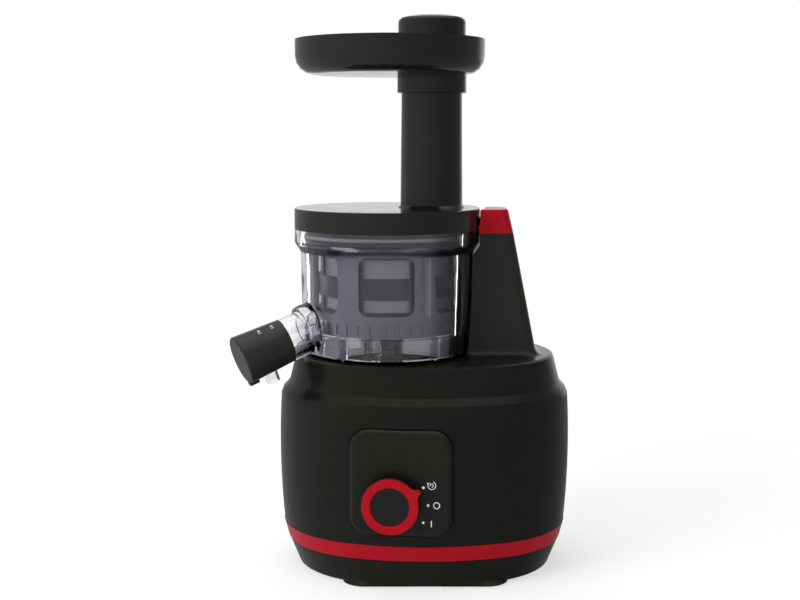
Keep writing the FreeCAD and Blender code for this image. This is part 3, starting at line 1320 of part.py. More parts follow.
# Idler gear on its pin.
idler = make_body("idler_gear", drive_x, drive_y)
idler_frame = FreeCAD.Placement(
    FreeCAD.Vector(idler_across.value, idler_along.value, gear_z.value), FreeCAD.Rotation())
idler_sketch = make_sketch(idler, "teeth", "XY_Plane", None, idler_frame)
idler_points = tooth_outline(idler_teeth, size("tooth_tip").value, size("tooth_root").value,
                             size("tooth_play").value / 2)
idler_phase = size("idler_turn").value + 180.0 + 180.0 / idler_teeth
draw_free(idler_sketch, turn_points(idler_points, idler_phase))
add_pad(idler, idler_sketch, size("gear_width"))
idler_bore = make_sketch(idler, "bore", "XY_Plane", None, idler_frame)
draw_circle(idler_bore, 0, 0, size("idler_pin") + fit)
add_cut(idler, idler_bore, size("gear_width"), reverse=True)

# Strainer: hoops, ribs, floor and a flange on the ledge of the bowl.
strainer = make_body("strainer_frame", drive_x, drive_y)
frame_inner = size("screen_radius") + fit
frame_outer = frame_inner + size("strainer_wall")
floor_hole = size("auger_hub") + gap * 2
ring_profile(strainer, "section", [
    (floor_hole, strainer_z),
    (frame_outer, strainer_z),
    (frame_outer, ledge_z),
    (size("bowl_neck_radius") - inside + size("ledge_width") - gap, ledge_z),
    (size("bowl_neck_radius") - inside + size("ledge_width") - gap, ledge_z + size("flange_thick")),
    (frame_inner, ledge_z + size("flange_thick")),
    (frame_inner, strainer_z + size("strainer_floor")),
    (floor_hole, strainer_z + size("strainer_floor")),
])
light = make_sketch(strainer, "light", "XZ_Plane")
light_half = frame_outer * math.sin(math.pi / count("strainer_ribs")) - size("rib_width") / 2
for low, high in ((strainer_z + size("strainer_ring"), deck_z + size("hoop_foot")),
                  (deck_z + size("hoop_head"), ledge_z - size("strainer_ring"))):
    draw_outline(light, [
        (-light_half, low),
        (light_half, low),
        (light_half, high),
        (-light_half, high),
    ])
light_cut = add_cut(strainer, light, frame_outer + gap)
add_pattern(strainer, [light_cut], size("strainer_ribs"), "lights")
screen = make_body("strainer_screen", drive_x, drive_y)
ring_profile(screen, "section", [
    (size("screen_radius") - size("screen_thick"), strainer_z + size("strainer_floor") + fit),
    (size("screen_radius"), strainer_z + size("strainer_floor") + fit),
    (size("screen_radius"), ledge_z),
    (size("screen_radius") - size("screen_thick"), ledge_z),
])

# Drive shaft: round below the deck, hexagonal inside the bowl.
shaft = make_body("drive_shaft", drive_x, drive_y)
round_sketch = make_sketch(shaft, "round", "XY_Plane", deck_z + size("bush_flange") + gap)
draw_circle(round_sketch, 0, 0, size("shaft_radius"))
add_pad(shaft, round_sketch, size("motor_radius") * 0.7, reverse=True)
hexagon = make_sketch(shaft, "hexagon", "XY_Plane", deck_z + size("bush_flange") * 2 + gap)
corner_reach = size("hex_flats") / math.sqrt(3.0)
corners = []
for step in range(6):
    turn = math.radians(60.0 * step)
    corners.append((corner_reach * math.cos(turn), corner_reach * math.sin(turn)))
draw_outline(hexagon, corners)
add_pad(shaft, hexagon, size("hex_rise") - size("bush_flange") * 2)
neck_sketch = make_sketch(shaft, "neck", "XY_Plane", deck_z + size("bush_flange"))
draw_circle(neck_sketch, 0, 0, size("shaft_radius"))
add_pad(shaft, neck_sketch, size("bush_flange") * 2)

# Auger: hub in the sleeve, gear, hub, tapering core, two flights and a pin.
auger = make_body("auger", drive_x, drive_y)
core_z = strainer_z + size("strainer_floor") + gap * 2
core_top_z = ledge_z + size("flange_thick")
hub_foot = deck_z + size("bush_flange") * 2 + gap * 2
lower_hub = tooth_module * size("sun_teeth") / 2 - tooth_module * size("tooth_root")
ring_profile(auger, "core", [
    (0, hub_foot),
    (size("sleeve_bore") - gap * 3, hub_foot),
    (size("sleeve_bore") - gap * 3, sleeve_top_z + gap * 5),
    (lower_hub, sleeve_top_z + gap * 5),
    (lower_hub, gear_top_z),
    (size("auger_hub"), gear_top_z),
    (size("auger_hub"), core_z),
    (size("auger_core"), core_z),
    (size("auger_waist"), core_top_z - size("auger_pin")),
    (size("auger_pin") + gap * 4, core_top_z),
    (size("auger_pin"), core_top_z),
    (size("auger_pin"), lid_z - size("lid_plate") - gap * 10),
    (0, lid_z - size("lid_plate") - gap * 10),
])
sun_sketch = make_sketch(auger, "gear", "XY_Plane", gear_z)
sun_points = tooth_outline(sun_teeth, size("tooth_tip").value, size("tooth_root").value,
                           size("tooth_play").value / 2)
draw_free(sun_sketch, turn_points(sun_points, size("idler_turn").value))
add_pad(auger, sun_sketch, size("gear_width"))
for number, side in enumerate((1, -1)):
    flight = make_sketch(auger, "flight_%d" % number, "XZ_Plane")
    draw_outline(flight, [
        (size("auger_waist") * side / 2, core_z),
        (size("flight_radius") * side, core_z + size("flight_thick") - size("flight_tip")),
        (size("flight_radius") * side, core_z + size("flight_thick")),
        (size("auger_waist") * side / 2, core_z + size("flight_thick") * 1.4),
    ])
    helix = auger.newObject("PartDesign::AdditiveHelix", "flight_helix_%d" % number)
    helix.Profile = flight
    helix.ReferenceAxis = (flight, ["V_Axis"])
    helix.Mode = 0
    helix.setExpression("Pitch", size("flight_pitch").text)
    helix.setExpression("Height", size("flight_rise").text)
    helix.Angle = 0.0
    helix.LeftHanded = False
    helix.Reversed = False
    doc.recompute()
    stop_if_failed(helix)
socket = make_sketch(auger, "hex_socket", "XY_Plane", hub_foot)
corners = []
for step in range(6):
    turn = math.radians(60.0 * step)
    reach = corner_reach + fit * 2
    corners.append((reach * math.cos(turn), reach * math.sin(turn)))
draw_outline(socket, corners)
add_cut(auger, socket, size("hex_rise") - size("bush_flange") * 2, reverse=True)

# Lid: edge, top, inner ring, bush boss, locking tab and the feed tube.
lid = make_body("lid", drive_x, drive_y)
plug_outer = size("rim_radius") - inside - gap * 4
lid_under = lid_z - size("lid_plate")
lid_edge = size("lid_edge")
boss_outer = size("auger_pin") + size("lid_wall") * 2
ring_profile(lid, "section", [
    (boss_outer, lid_under),
    (plug_outer - size("plug_wall"), lid_under),
    (plug_outer - size("plug_wall"), bowl_rim_z - size("plug_rise")),
    (plug_outer, bowl_rim_z - size("plug_rise")),
    (plug_outer, bowl_rim_z),
    (size("rim_radius"), bowl_rim_z),
    (size("rim_radius"), lid_z - lid_edge),
    (size("rim_radius") - lid_edge * 0.3, lid_z - lid_edge * 0.3),
    (size("rim_radius") - lid_edge, lid_z),
    (0, lid_z),
    (0, lid_under - gap),
    (boss_outer, lid_under - gap),
])
tube_frame = FreeCAD.Placement(FreeCAD.Vector(size("tube_offset").value, 0, 0), FreeCAD.Rotation())
tube_x = size("tube_offset")


def tube_profile(body, name, corners, across, cut=False):
    frame = FreeCAD.Placement(FreeCAD.Vector(across.value, 0, 0), FreeCAD.Rotation())
    sketch = make_sketch(body, name, "XZ_Plane", None, frame)
    sketch.setExpression(".AttachmentOffset.Base.x", across.text)
    draw_outline(sketch, corners)
    return add_turn(body, sketch, cut)


spigot_outer = size("tube_bore") + size("spigot_gap") + size("spigot_wall")
tube_profile(lid, "tube", [
    (0, lid_under),
    (size("tube_foot_radius") + size("lid_edge") * 2, lid_under),
    (size("tube_foot_radius") + size("lid_edge") * 2, lid_z),
    (size("tube_foot_radius"), lid_z + size("lid_edge") * 2),
    (size("tube_head_radius"), collar_z),
    (size("collar_radius"), collar_z + gap * 2),
    (size("collar_radius"), collar_top_z),
    (0, collar_top_z),
], tube_x)
tube_profile(lid, "tube_bore", [
    (0, lid_under - gap * 2),
    (size("tube_bore"), lid_under - gap * 2),
    (size("tube_bore"), collar_top_z - size("spigot_depth") - gap),
    (spigot_outer + fit, collar_top_z - size("spigot_depth") - gap),
    (spigot_outer + fit, collar_top_z + gap),
    (0, collar_top_z + gap),
], tube_x, cut=True)
bush_boss = make_sketch(lid, "bush_boss", "XY_Plane", lid_under)
draw_circle(bush_boss, 0, 0, boss_outer)
add_pad(lid, bush_boss, lid_under - core_top_z - gap * 5, reverse=True)
boss_bore = make_sketch(lid, "boss_bore", "XY_Plane", core_top_z)
draw_circle(boss_bore, 0, 0, size("auger_pin") + size("lid_wall"))
add_cut(lid, boss_bore, lid_under - core_top_z, reverse=True)
gasket_groove = size("gasket_radius") * 2 + gap
ring_profile(lid, "gasket_groove", [
    (plug_outer - size("gasket_radius") * 2 + gap, bowl_rim_z - size("plug_rise") / 2 - gasket_groove / 2),
    (plug_outer + gap, bowl_rim_z - size("plug_rise") / 2 - gasket_groove / 2),
    (plug_outer + gap, bowl_rim_z - size("plug_rise") / 2 + gasket_groove / 2),
    (plug_outer - size("gasket_radius") * 2 + gap, bowl_rim_z - size("plug_rise") / 2 + gasket_groove / 2),
], cut=True)
tab_z = bowl_rim_z + size("lid_tab_rise") * 0.3
tab = make_sketch(lid, "tab", "XY_Plane", tab_z)
draw_outline(tab, [
    (size("rim_radius") - size("lid_wall"), size("lid_tab_width") / -2),
    (size("rim_radius") + size("lid_tab_reach"), size("lid_tab_width") / -2),
    (size("rim_radius") + size("lid_tab_reach"), size("lid_tab_width") / 2),
    (size("rim_radius") - size("lid_wall"), size("lid_tab_width") / 2),
])
add_pad(lid, tab, size("lid_tab_rise"))

lid_bush = make_body("lid_bush", drive_x, drive_y)
ring_profile(lid_bush, "section", [
    (size("auger_pin") + fit, core_top_z + gap),
    (size("auger_pin") + size("lid_wall") - fit, core_top_z + gap),
    (size("auger_pin") + size("lid_wall") - fit, lid_under - gap),
    (size("auger_pin") + fit, lid_under - gap),
])
gasket = doc.addObject("Part::Torus", "lid_gasket")
gasket.Label = "lid_gasket"
gasket.setExpression("Radius1", (plug_outer - size("gasket_radius") + gap * 2).text)
gasket.setExpression("Radius2", size("gasket_radius").text)
gasket.setExpression(".Placement.Base.x", drive_x.text)
gasket.setExpression(".Placement.Base.y", drive_y.text)
gasket.setExpression(".Placement.Base.z", (bowl_rim_z - size("plug_rise") / 2).text)

# Feed tray: dish with a neck and a spigot in the collar of the tube.
tray = make_body("feed_tray", drive_x, drive_y)
tray_x = size("tray_shift")
tray_edge = size("tray_foot_edge")


def dish(radius, low, high, edge):
    turn = math.sqrt(0.5)
    return [
        (0, low),
        (radius - edge, low),
        (radius - edge + edge * 0.383, low + edge * (1.0 - 0.924)),
        (radius - edge + edge * turn, low + edge * (1.0 - turn)),
        (radius - edge + edge * 0.924, low + edge * (1.0 - 0.383)),
        (radius, low + edge),
        (radius, high),
        (0, high),
    ]


tube_profile(tray, "dish", dish(size("tray_radius"), tray_z, tray_rim_z, tray_edge), tray_x)
neck = make_sketch(tray, "neck", "XY_Plane", collar_top_z)
draw_circle(neck, tube_x, 0, size("collar_radius") - fit)
add_pad(tray, neck, size("tray_neck") + size("tray_wall") / 2)
spigot = make_sketch(tray, "spigot", "XY_Plane", collar_top_z - size("spigot_depth"))
draw_circle(spigot, tube_x, 0, spigot_outer)
add_pad(tray, spigot, size("spigot_depth") + size("tray_neck") + size("tray_wall") / 2)
tube_profile(tray, "hollow", dish(size("tray_radius") - size("tray_wall"), tray_floor_z,
                                  tray_rim_z + gap, tray_edge - size("tray_wall")), tray_x, cut=True)
tray_bore = make_sketch(tray, "bore", "XY_Plane", collar_top_z - size("spigot_depth"))
draw_circle(tray_bore, tube_x, 0, size("tube_bore") + size("spigot_gap"))
add_cut(tray, tray_bore, size("spigot_depth") + size("tray_neck") + size("tray_wall") + gap,
        reverse=True)

# Pusher: closed tube under a flange, with a domed hollow grip on it.
pusher_x = drive_x + size("tube_offset")
stem_radius = size("tube_bore") - size("pusher_gap")
pusher = make_body("pusher_body", pusher_x, drive_y)
pusher_foot = tray_floor_z - size("pusher_length")
ring_profile(pusher, "section", [
    (0, pusher_foot),
    (stem_radius - gap * 4, pusher_foot),
    (stem_radius, pusher_foot + gap * 4),
    (stem_radius, tray_floor_z),
    (size("grip_radius"), tray_floor_z),
    (size("grip_radius"), tray_floor_z + size("pusher_wall")),
    (stem_radius - size("pusher_wall"), tray_floor_z + size("pusher_wall")),
    (stem_radius - size("pusher_wall"), pusher_foot + size("pusher_wall")),
    (0, pusher_foot + size("pusher_wall")),
])
grip = make_body("pusher_cap", pusher_x, drive_y)
grip_top = tray_floor_z + size("grip_rise")
grip_foot = tray_floor_z + size("pusher_wall")
grip_edge = size("grip_edge")
ring_profile(grip, "section", [
    (size("grip_radius") - size("pusher_wall"), grip_foot),
    (size("grip_radius"), grip_foot),
    (size("grip_radius"), grip_top - grip_edge),
    (size("grip_radius") - grip_edge * 0.134, grip_top - grip_edge * 0.5),
    (size("grip_radius") - grip_edge * 0.5, grip_top - grip_edge * 0.134),
    (size("grip_radius") - grip_edge, grip_top),
    (size("grip_radius") * 0.6, grip_top + size("grip_crown") * 0.6),
    (size("grip_radius") * 0.3, grip_top + size("grip_crown") * 0.9),
    (0, grip_top + size("grip_crown")),
    (0, grip_top - size("pusher_wall")),
    (size("grip_radius") - size("pusher_wall"), grip_top - grip_edge),
])

# Output bush and shaft seal on the deck.
output_bush = make_body("output_bush", drive_x, drive_y)
bush_stem_radius = size("bush_radius") - size("bush_flange") - fit
ring_profile(output_bush, "section", [
    (size("shaft_radius") + fit, deck_z - wall * 2),
    (bush_stem_radius, deck_z - wall * 2),
    (bush_stem_radius, deck_z),
    (size("bush_radius"), deck_z),
    (size("bush_radius"), deck_z + size("bush_flange")),
    (size("shaft_radius") + fit, deck_z + size("bush_flange")),
])
shaft_seal = make_body("shaft_seal", drive_x, drive_y)
ring_profile(shaft_seal, "section", [
    (size("shaft_radius") + fit, deck_z + size("bush_flange")),
    (size("seal_radius"), deck_z + size("bush_flange")),
    (size("seal_radius") - gap * 2, deck_z + size("bush_flange") + gap * 4),
    (size("shaft_radius") + fit, deck_z + size("bush_flange") + gap * 4),
])

# Motor on its own axis, under the gearbox.
motor_x = drive_x + size("motor_offset")
motor_z = size("motor_foot")
motor_top_z = motor_z + size("motor_rise")
shaft_hole = size("motor_shaft") + fit
can = make_body("motor_can", motor_x, drive_y)
ring_profile(can, "section", [
    (shaft_hole, motor_z),
    (size("motor_radius"), motor_z),
    (size("motor_radius"), motor_top_z),
    (shaft_hole, motor_top_z),
    (shaft_hole, motor_top_z - size("motor_wall")),
    (size("motor_radius") - size("motor_wall"), motor_top_z - size("motor_wall")),
    (size("motor_radius") - size("motor_wall"), motor_z + size("motor_wall")),
    (shaft_hole, motor_z + size("motor_wall")),
])
stack_z = motor_z + (size("motor_rise") - size("rotor_rise")) / 2
stator = make_body("motor_stator", motor_x, drive_y)
ring_profile(stator, "section", [
    (size("rotor_radius") + size("stator_gap"), stack_z),
    (size("motor_radius") - size("motor_wall") - fit, stack_z),
    (size("motor_radius") - size("motor_wall") - fit, stack_z + size("rotor_rise")),
    (size("rotor_radius") + size("stator_gap"), stack_z + size("rotor_rise")),
])
rotor = make_body("motor_rotor", motor_x, drive_y)
rotor_foot = motor_z - size("fan_rise") - gap * 12
case_z = motor_top_z + gap
case_top_z = case_z + size("case_rise")
ring_profile(rotor, "section", [
    (0, rotor_foot),
    (size("motor_shaft"), rotor_foot),
    (size("motor_shaft"), stack_z),
    (size("rotor_radius"), stack_z),
    (size("rotor_radius"), stack_z + size("rotor_rise")),
    (size("motor_shaft"), stack_z + size("rotor_rise")),
    (size("motor_shaft"), case_z + size("case_rise") / 2),
    (0, case_z + size("case_rise") / 2),
])
fan = make_body("motor_fan", motor_x, drive_y)
fan_hub = size("motor_shaft") * 2
fan_z = motor_z - size("fan_rise") - gap * 6
hub_sketch = make_sketch(fan, "hub", "XY_Plane", fan_z)
draw_circle(hub_sketch, 0, 0, fan_hub)
add_pad(fan, hub_sketch, size("fan_rise"))
blade_frame = FreeCAD.Placement(FreeCAD.Vector(0, 0, 0), FreeCAD.Rotation(FreeCAD.Vector(1, 0, 0), 35))
fan_blade = make_sketch(fan, "blade", "YZ_Plane", fan_hub * 0.8)
draw_outline(fan_blade, [
    (size("motor_shaft") * -1, fan_z),
    (size("motor_shaft") * -1 + size("housing_wall") / 2, fan_z),
    (size("motor_shaft"), fan_z + size("fan_rise")),
    (size("motor_shaft") - size("housing_wall") / 2, fan_z + size("fan_rise")),
])
blade_pad = add_pad(fan, fan_blade, size("fan_radius") - fan_hub * 0.8)
add_pattern(fan, [blade_pad], size("fan_blades"), "blades")
fan_bore = make_sketch(fan, "bore", "XY_Plane", fan_z)
draw_circle(fan_bore, 0, 0, size("motor_shaft") + fit / 4)
add_cut(fan, fan_bore, size("fan_rise"), reverse=True)


def case_outline(sketch, grow):
    # Two rounded ends joined by straight sides.
    near = (size("case_radius") + grow).value
    far = (size("case_end_radius") + grow).value
    span = size("motor_offset").value
    lean = math.acos((near - far) / span)
    first = arc_between(FreeCAD.Vector(0, 0, 0), near, lean, 2 * math.pi - lean)
    last = arc_between(FreeCAD.Vector(span, 0, 0), far, -lean, lean)
    sketch.addGeometry(first, False)
    sketch.addGeometry(Part.LineSegment(first.EndPoint, last.StartPoint), False)
    sketch.addGeometry(last, False)
    sketch.addGeometry(Part.LineSegment(last.EndPoint, first.StartPoint), False)
    for index in range(4):
        link = Sketcher.Constraint("Coincident", index, 2, (index + 1) % 4, 1)
        sketch.addConstraint(link)


# Sealed gearbox between the motor and the drive shaft, and its cover.
case = make_body("gearbox_case", drive_x, drive_y)
case_sketch = make_sketch(case, "outline", "XY_Plane", case_z)
case_outline(case_sketch, as_size(0))
add_pad(case, case_sketch, size("case_rise"))
rotor_hole = make_sketch(case, "rotor_hole", "XY_Plane", case_z)
draw_circle(rotor_hole, size("motor_offset"), 0, shaft_hole)
add_cut(case, rotor_hole, size("case_rise") / 2 + size("case_sink"), reverse=True)
output_hole = make_sketch(case, "output_hole", "XY_Plane", case_top_z)
draw_circle(output_hole, 0, 0, size("shaft_radius") + fit)
add_cut(case, output_hole, size("case_rise") / 2)
case_lid = make_body("gearbox_cover", drive_x, drive_y)
case_sketch = make_sketch(case_lid, "outline", "XY_Plane", case_top_z)
case_outline(case_sketch, size("housing_wall") / 2)
cover_rise = deck_z - wall * 2 - gap - case_top_z
add_pad(case_lid, case_sketch, cover_rise)
lid_hole = make_sketch(case_lid, "output_hole", "XY_Plane", case_top_z + cover_rise)
draw_circle(lid_hole, 0, 0, size("shaft_radius") + fit)
add_cut(case_lid, lid_hole, cover_rise)

# Circuit board on the posts of the pan.
board = doc.addObject("Part::Box", "circuit_board")
board.Label = "circuit_board"
board.setExpression("Length", size("board_length").text)
board.setExpression("Width", size("board_width").text)
board.setExpression("Height", size("board_thick").text)
board_left = base_x - size("vent_length") - size("board_length") / 2
board.setExpression(".Placement.Base.x", board_left.text)
board.setExpression(".Placement.Base.y", (drive_y - size("board_width") / 2).text)
board.setExpression(".Placement.Base.z", (pan_z + size("board_lift")).text)

doc.recompute()

# Every object has to be sound before anything is written.
for item in doc.Objects:
    if "Invalid" in item.State or "Error" in item.State:
        raise ValueError("%s is %s" % (item.Name, item.State))

FIXED = (pan, feet, case_screws, band, housing, bush, panel, switch, cover, cap, output_bush,
         shaft_seal, can, stator, case, case_lid, board)
MOVING = (knob, ring, spindle, rotor, fan, shaft, bowl, bowl_seal, pulp_plug, spout_seal,
          strainer, screen, spout_cap, nose, cage, wipers, idler, auger, gasket, lid, lid_bush, tray,
          pusher, grip)
os.makedirs("parts", exist_ok=True)
for item in FIXED + MOVING:
    shape = item.Shape
    if shape.isNull() or not shape.isValid():
        raise ValueError("%s has no sound shape" % item.Label)
    shape.exportStep("parts/%s.step" % item.Label)
    print("%s %d solids, %.0f mm3" % (item.Label, len(shape.Solids), shape.Volume))
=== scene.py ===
"""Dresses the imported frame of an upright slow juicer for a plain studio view."""

import json
import math

import bpy
import numpy as np
from mathutils import Matrix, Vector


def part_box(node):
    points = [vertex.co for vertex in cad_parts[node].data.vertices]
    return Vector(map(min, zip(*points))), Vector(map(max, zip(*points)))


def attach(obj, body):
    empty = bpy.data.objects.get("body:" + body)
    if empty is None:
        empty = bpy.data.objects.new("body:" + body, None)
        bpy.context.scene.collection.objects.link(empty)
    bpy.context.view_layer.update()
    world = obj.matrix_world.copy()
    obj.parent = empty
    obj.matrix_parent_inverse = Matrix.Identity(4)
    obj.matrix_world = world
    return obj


bl_info = {
    "name": "Slow Juicer Studio",
    "version": (1, 0, 0),
    "blender": (4, 5, 0),
    "location": "3D Viewport > Sidebar > Juicer",
    "description": "Materials, printed marks and studio for an upright slow juicer",
    "category": "Object",
}

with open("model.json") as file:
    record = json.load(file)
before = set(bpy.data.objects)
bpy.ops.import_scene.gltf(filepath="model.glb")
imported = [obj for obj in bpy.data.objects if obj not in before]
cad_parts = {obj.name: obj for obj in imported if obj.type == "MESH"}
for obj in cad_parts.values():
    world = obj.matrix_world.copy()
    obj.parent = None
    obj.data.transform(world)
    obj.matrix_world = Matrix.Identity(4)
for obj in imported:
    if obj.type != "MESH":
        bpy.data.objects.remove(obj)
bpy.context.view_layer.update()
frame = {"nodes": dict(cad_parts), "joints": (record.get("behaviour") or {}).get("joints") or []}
NODES = frame["nodes"]
JOINTS = {joint["name"]: joint for joint in frame["joints"]}

MM = 0.001

# Shading: the distance over which corners merge, and the angles in degrees that stay sharp.

MERGE_REACH = 0.002 * MM
SOFT_LIMIT = 26.0
CRISP_LIMIT = 12.0
MADE_LIMIT = 35.0

# Finishes: tints of straight-on reflections, and where tints change, from the drive axis: the
# bowl's painted shade towards the column and painted light on its far side.

BLACK = (0.0, 0.0, 0.0)
WHITE = (1.0, 1.0, 1.0)
SHELL_GLINT = (0.95, 1.0, 0.84)
TRIM_GLINT = (1.0, 0.55, 0.55)
DUST_COLOUR = (0.55, 0.53, 0.5, 1.0)
COLUMN_FADE = 6 * MM
# Painted shade: the bowl darkens towards black on the side by the column. Painted light: it pales
# towards white on the far side. Each gives a start, an end and a depth.
BOWL_PAINTED_SHADE = (30 * MM, 52 * MM, 0.78)
BOWL_PAINTED_LIGHT = (-58 * MM, -70 * MM, 0.85)

# Toes: arcs of the pan's oval, points of the grid, and how the toes lie on the pan.

END_SHARE = 0.93
TOE_STEPS = 3600
TOE_COLUMNS = 33
TOE_ROWS = 9
TOE_SKIN = 0.15 * MM
TOE_LIP = 3 * MM
TINY = 1e-9

# Print: turns round the knob in degrees, and shares of a line or of the radius of a sign.

DOT_TURNS = (29.5, 0.0, -29.5)
ON_TURN = -25.5
REVERSE_TURN = 27.0
REVERSE_ARC = (150.0, 430.0)
SWIRL_ARC = (200.0, 20.0)
SWIRL_SHARE = 0.42
BAR_LINE = 1.15
ARC_LINE = 0.7
FINE_LINE = 0.6
BARB = ((-0.95, 0.55), (0.0, -0.15), (1.05, 0.35))
BARB_SHARE = 1.6
STEM = ((0.42, 0.12), (0.1, -0.5))

# Print of the spout cap: its drum along the spout axis, and its signs along and round it.

CAP_NEAR, CAP_FAR = 18.5 * MM, 52.3 * MM
CAP_NEAR_RADIUS, CAP_FAR_RADIUS = 16.0 * MM, 17.6 * MM
CAP_SIGNS = ((26.2 * MM, 5.9 * MM), (36.2 * MM, 5.9 * MM))
CAP_STROKE = ((-1.2 * MM, 2.6 * MM), (1.2 * MM, 2.6 * MM))
CAP_RING = 0.8 * MM
CAP_LINE = 0.45 * MM

# Studio: lamps as name, place, width, height and power, in metres and watts.

LAMP_AIM = 0.2
LAMPS = (
    ("lamp_key", (-1.7, -1.1, 1.1), 1.2, 1.4, 42.0),
    ("lamp_fill", (1.3, -1.8, 0.9), 1.2, 1.2, 9.0),
    ("lamp_top", (-0.2, 0.2, 2.0), 1.4, 1.4, 22.0),
)

# Strips as name, bearing in degrees from the camera, width and power.

STRIPS = (("strip_right", 104.0, 0.03, 0.8), ("strip_left", -128.0, 0.07, 1.1))
STRIP_LEVEL = 30 * MM
STRIP_REACH = 1330 * MM
STRIP_RISE = 220 * MM

# Bands of the mirrored surround, each from and to a share of the direction that it lies in.

SIDE_BAND = (-0.9, 0.7)
BACK_BAND = (0.55, 0.95)
BACK_EDGE = (-0.5, -0.15)
LEVEL_BAND = (-0.2, -0.1)
TOP_BAND = (0.6, 0.9)

# Floor: its half length, its grid, and how its glow rises from the pool outwards.

FLOOR_REACH = 6.0
FLOOR_POINTS = 9
POOL_SPREAD = 2.2
POOL_GLOW = 0.6

# Camera: the width of its sensor in millimetres.

SENSOR_WIDTH = 36.0


# Small vector helpers.


def unit(vector):
    """The vector divided by its own length."""
    vector = np.asarray(vector, float)
    return vector / np.linalg.norm(vector)


class Plane:
    """A flat frame: an origin, an outward axis, a level axis across and an axis up the plane."""

    def __init__(self, origin, outward):
        self.origin = np.asarray(origin, float)
        self.outward = unit(outward)
        self.across = unit(np.cross((0.0, 0.0, 1.0), self.outward))
        self.up = np.cross(self.outward, self.across)

    def place(self, flat, height):
        """Points (x, y) of the plane lifted by a height along the outward axis."""
        flat = np.asarray(flat, float)
        height = np.broadcast_to(np.asarray(height, float), flat.shape[:-1])
        return (
            self.origin
            + flat[..., :1] * self.across
            + flat[..., 1:2] * self.up
            + height[..., None] * self.outward
        )


class Drum:
    """A slightly tapered round surface: a length along its axis and an angle round it."""

    def __init__(self, origin, axis, near, far, near_radius, far_radius):
        self.plane = Plane(origin, axis)
        self.near, self.far = near, far
        self.near_radius, self.far_radius = near_radius, far_radius

    def place(self, flat, height):
        """Points (along, round) wrapped on the drum: the radius grows evenly from the near
        to the far end, and round is an arc in metres measured at the far end."""
        flat = np.asarray(flat, float)
        share = (flat[..., 0] - self.near) / (self.far - self.near)
        radius = self.near_radius + share * (self.far_radius - self.near_radius)
        angle = flat[..., 1] / self.far_radius
        lifted = radius + height
        cross = np.stack((lifted * np.sin(angle), lifted * np.cos(angle)), axis=-1)
        return self.plane.place(cross, flat[..., 0])


# Meshes from whole arrays.


def grid_faces(rows, columns, wrap_rows=False, wrap_columns=False):
    """Quads that join each point of a grid to the next one along both parameters."""
    row = np.arange(rows if wrap_rows else rows - 1)
    column = np.arange(columns if wrap_columns else columns - 1)
    row, column = np.meshgrid(row, column, indexing="ij")
    row_next, column_next = (row + 1) % rows, (column + 1) % columns
    corners = (row * columns + column, row * columns + column_next,
               row_next * columns + column_next, row_next * columns + column)
    return np.stack(corners, axis=-1).reshape(-1, 4)


def mesh_piece(name, parts, body, material):
    """One object from (points, quads) parts, riding on a body of the frame."""
    points, quads, start = [], [], 0
    for part_points, part_quads in parts:
        part_points = part_points.reshape(-1, 3)
        points.append(part_points)
        quads.append(part_quads + start)
        start += len(part_points)
    mesh = bpy.data.meshes.new(name)
    mesh.from_pydata(np.concatenate(points).tolist(), [], np.concatenate(quads).tolist())
    mesh.validate()
    piece = bpy.data.objects.new(name, mesh)
    bpy.context.scene.collection.objects.link(piece)
    mesh.materials.append(material)
    mesh.shade_smooth()
    mesh.set_sharp_from_angle(angle=math.radians(MADE_LIMIT))
    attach(piece, body)
    return piece


def ribbon(surface, line, width, base, top, closed=False):
    """A raised ribbon along a flat line: its section is a rectangle whose upper corners
    are cut by a share of both sides, carried square to the line, with the ends closed."""
    line = np.asarray(line, float)
    if closed:
        ahead, behind = np.roll(line, -1, axis=0), np.roll(line, 1, axis=0)
    else:
        ahead = np.vstack((line[1:], line[-1:]))
        behind = np.vstack((line[:1], line[:-1]))
    run = ahead - behind
    run = run / np.linalg.norm(run, axis=1, keepdims=True)
    side = np.stack((run[:, 1], -run[:, 0]), axis=1)
    cut = 0.12
    across = np.array((-0.5, -0.5, -0.5 + cut, 0.5 - cut, 0.5, 0.5))
    shoulder = top - cut * (top - base)
    height = np.array((base, shoulder, top, top, shoulder, base))
    flat = line[:, None, :] + side[:, None, :] * (across * width)[None, :, None]
    points = surface.place(flat, np.broadcast_to(height, flat.shape[:-1]))
    quads = grid_faces(len(line), len(across), closed, True)
    if closed:
        return points, quads
    count = len(line) * len(across)
    first = np.array(((0, 1, 4, 5), (1, 2, 3, 4)))
    last = first[:, ::-1] + count - len(across)
    return points, np.concatenate((quads, first, last))


def arc_line(centre, radius, start, end, steps):
    """Points on an arc, from a start angle to an end angle in degrees."""
    angle = np.radians(np.linspace(start, end, steps))
    x, y = centre[0] + radius * np.cos(angle), centre[1] + radius * np.sin(angle)
    return np.stack((x, y), axis=1)


def ring_line(centre, radius, steps=40):
    """Points on a whole circle, without the repeated last one."""
    return arc_line(centre, radius, 0.0, 360.0, steps + 1)[:-1]


def dot(surface, centre, radius, base, top):
    """A raised round dot: rings of a circle shrinking over a rim to a near point."""
    share = np.array((1.0, 1.0, 0.86, 0.45, 0.02))
    height = np.array((base, top - 0.15 * (top - base), top, top, top))
    circle = ring_line((0.0, 0.0), 1.0, steps=28)
    flat = np.asarray(centre) + share[:, None, None] * radius * circle[None, :, :]
    points = surface.place(flat, np.broadcast_to(height[:, None], flat.shape[:-1]))
    return points, grid_faces(len(share), len(circle), False, True)


# Node groups for effects that several materials share.


def new_group(name, sockets_in, sockets_out):
    """An empty shader group with float or colour sockets, and its two end nodes."""
    tree = bpy.data.node_groups.new(name, "ShaderNodeTree")
    for label, kind, default in sockets_in:
        socket = tree.interface.new_socket(name=label, in_out="INPUT", socket_type=kind)
        socket.default_value = default
    for label, kind in sockets_out:
        tree.interface.new_socket(name=label, in_out="OUTPUT", socket_type=kind)
    return tree, tree.nodes.new("NodeGroupInput"), tree.nodes.new("NodeGroupOutput")


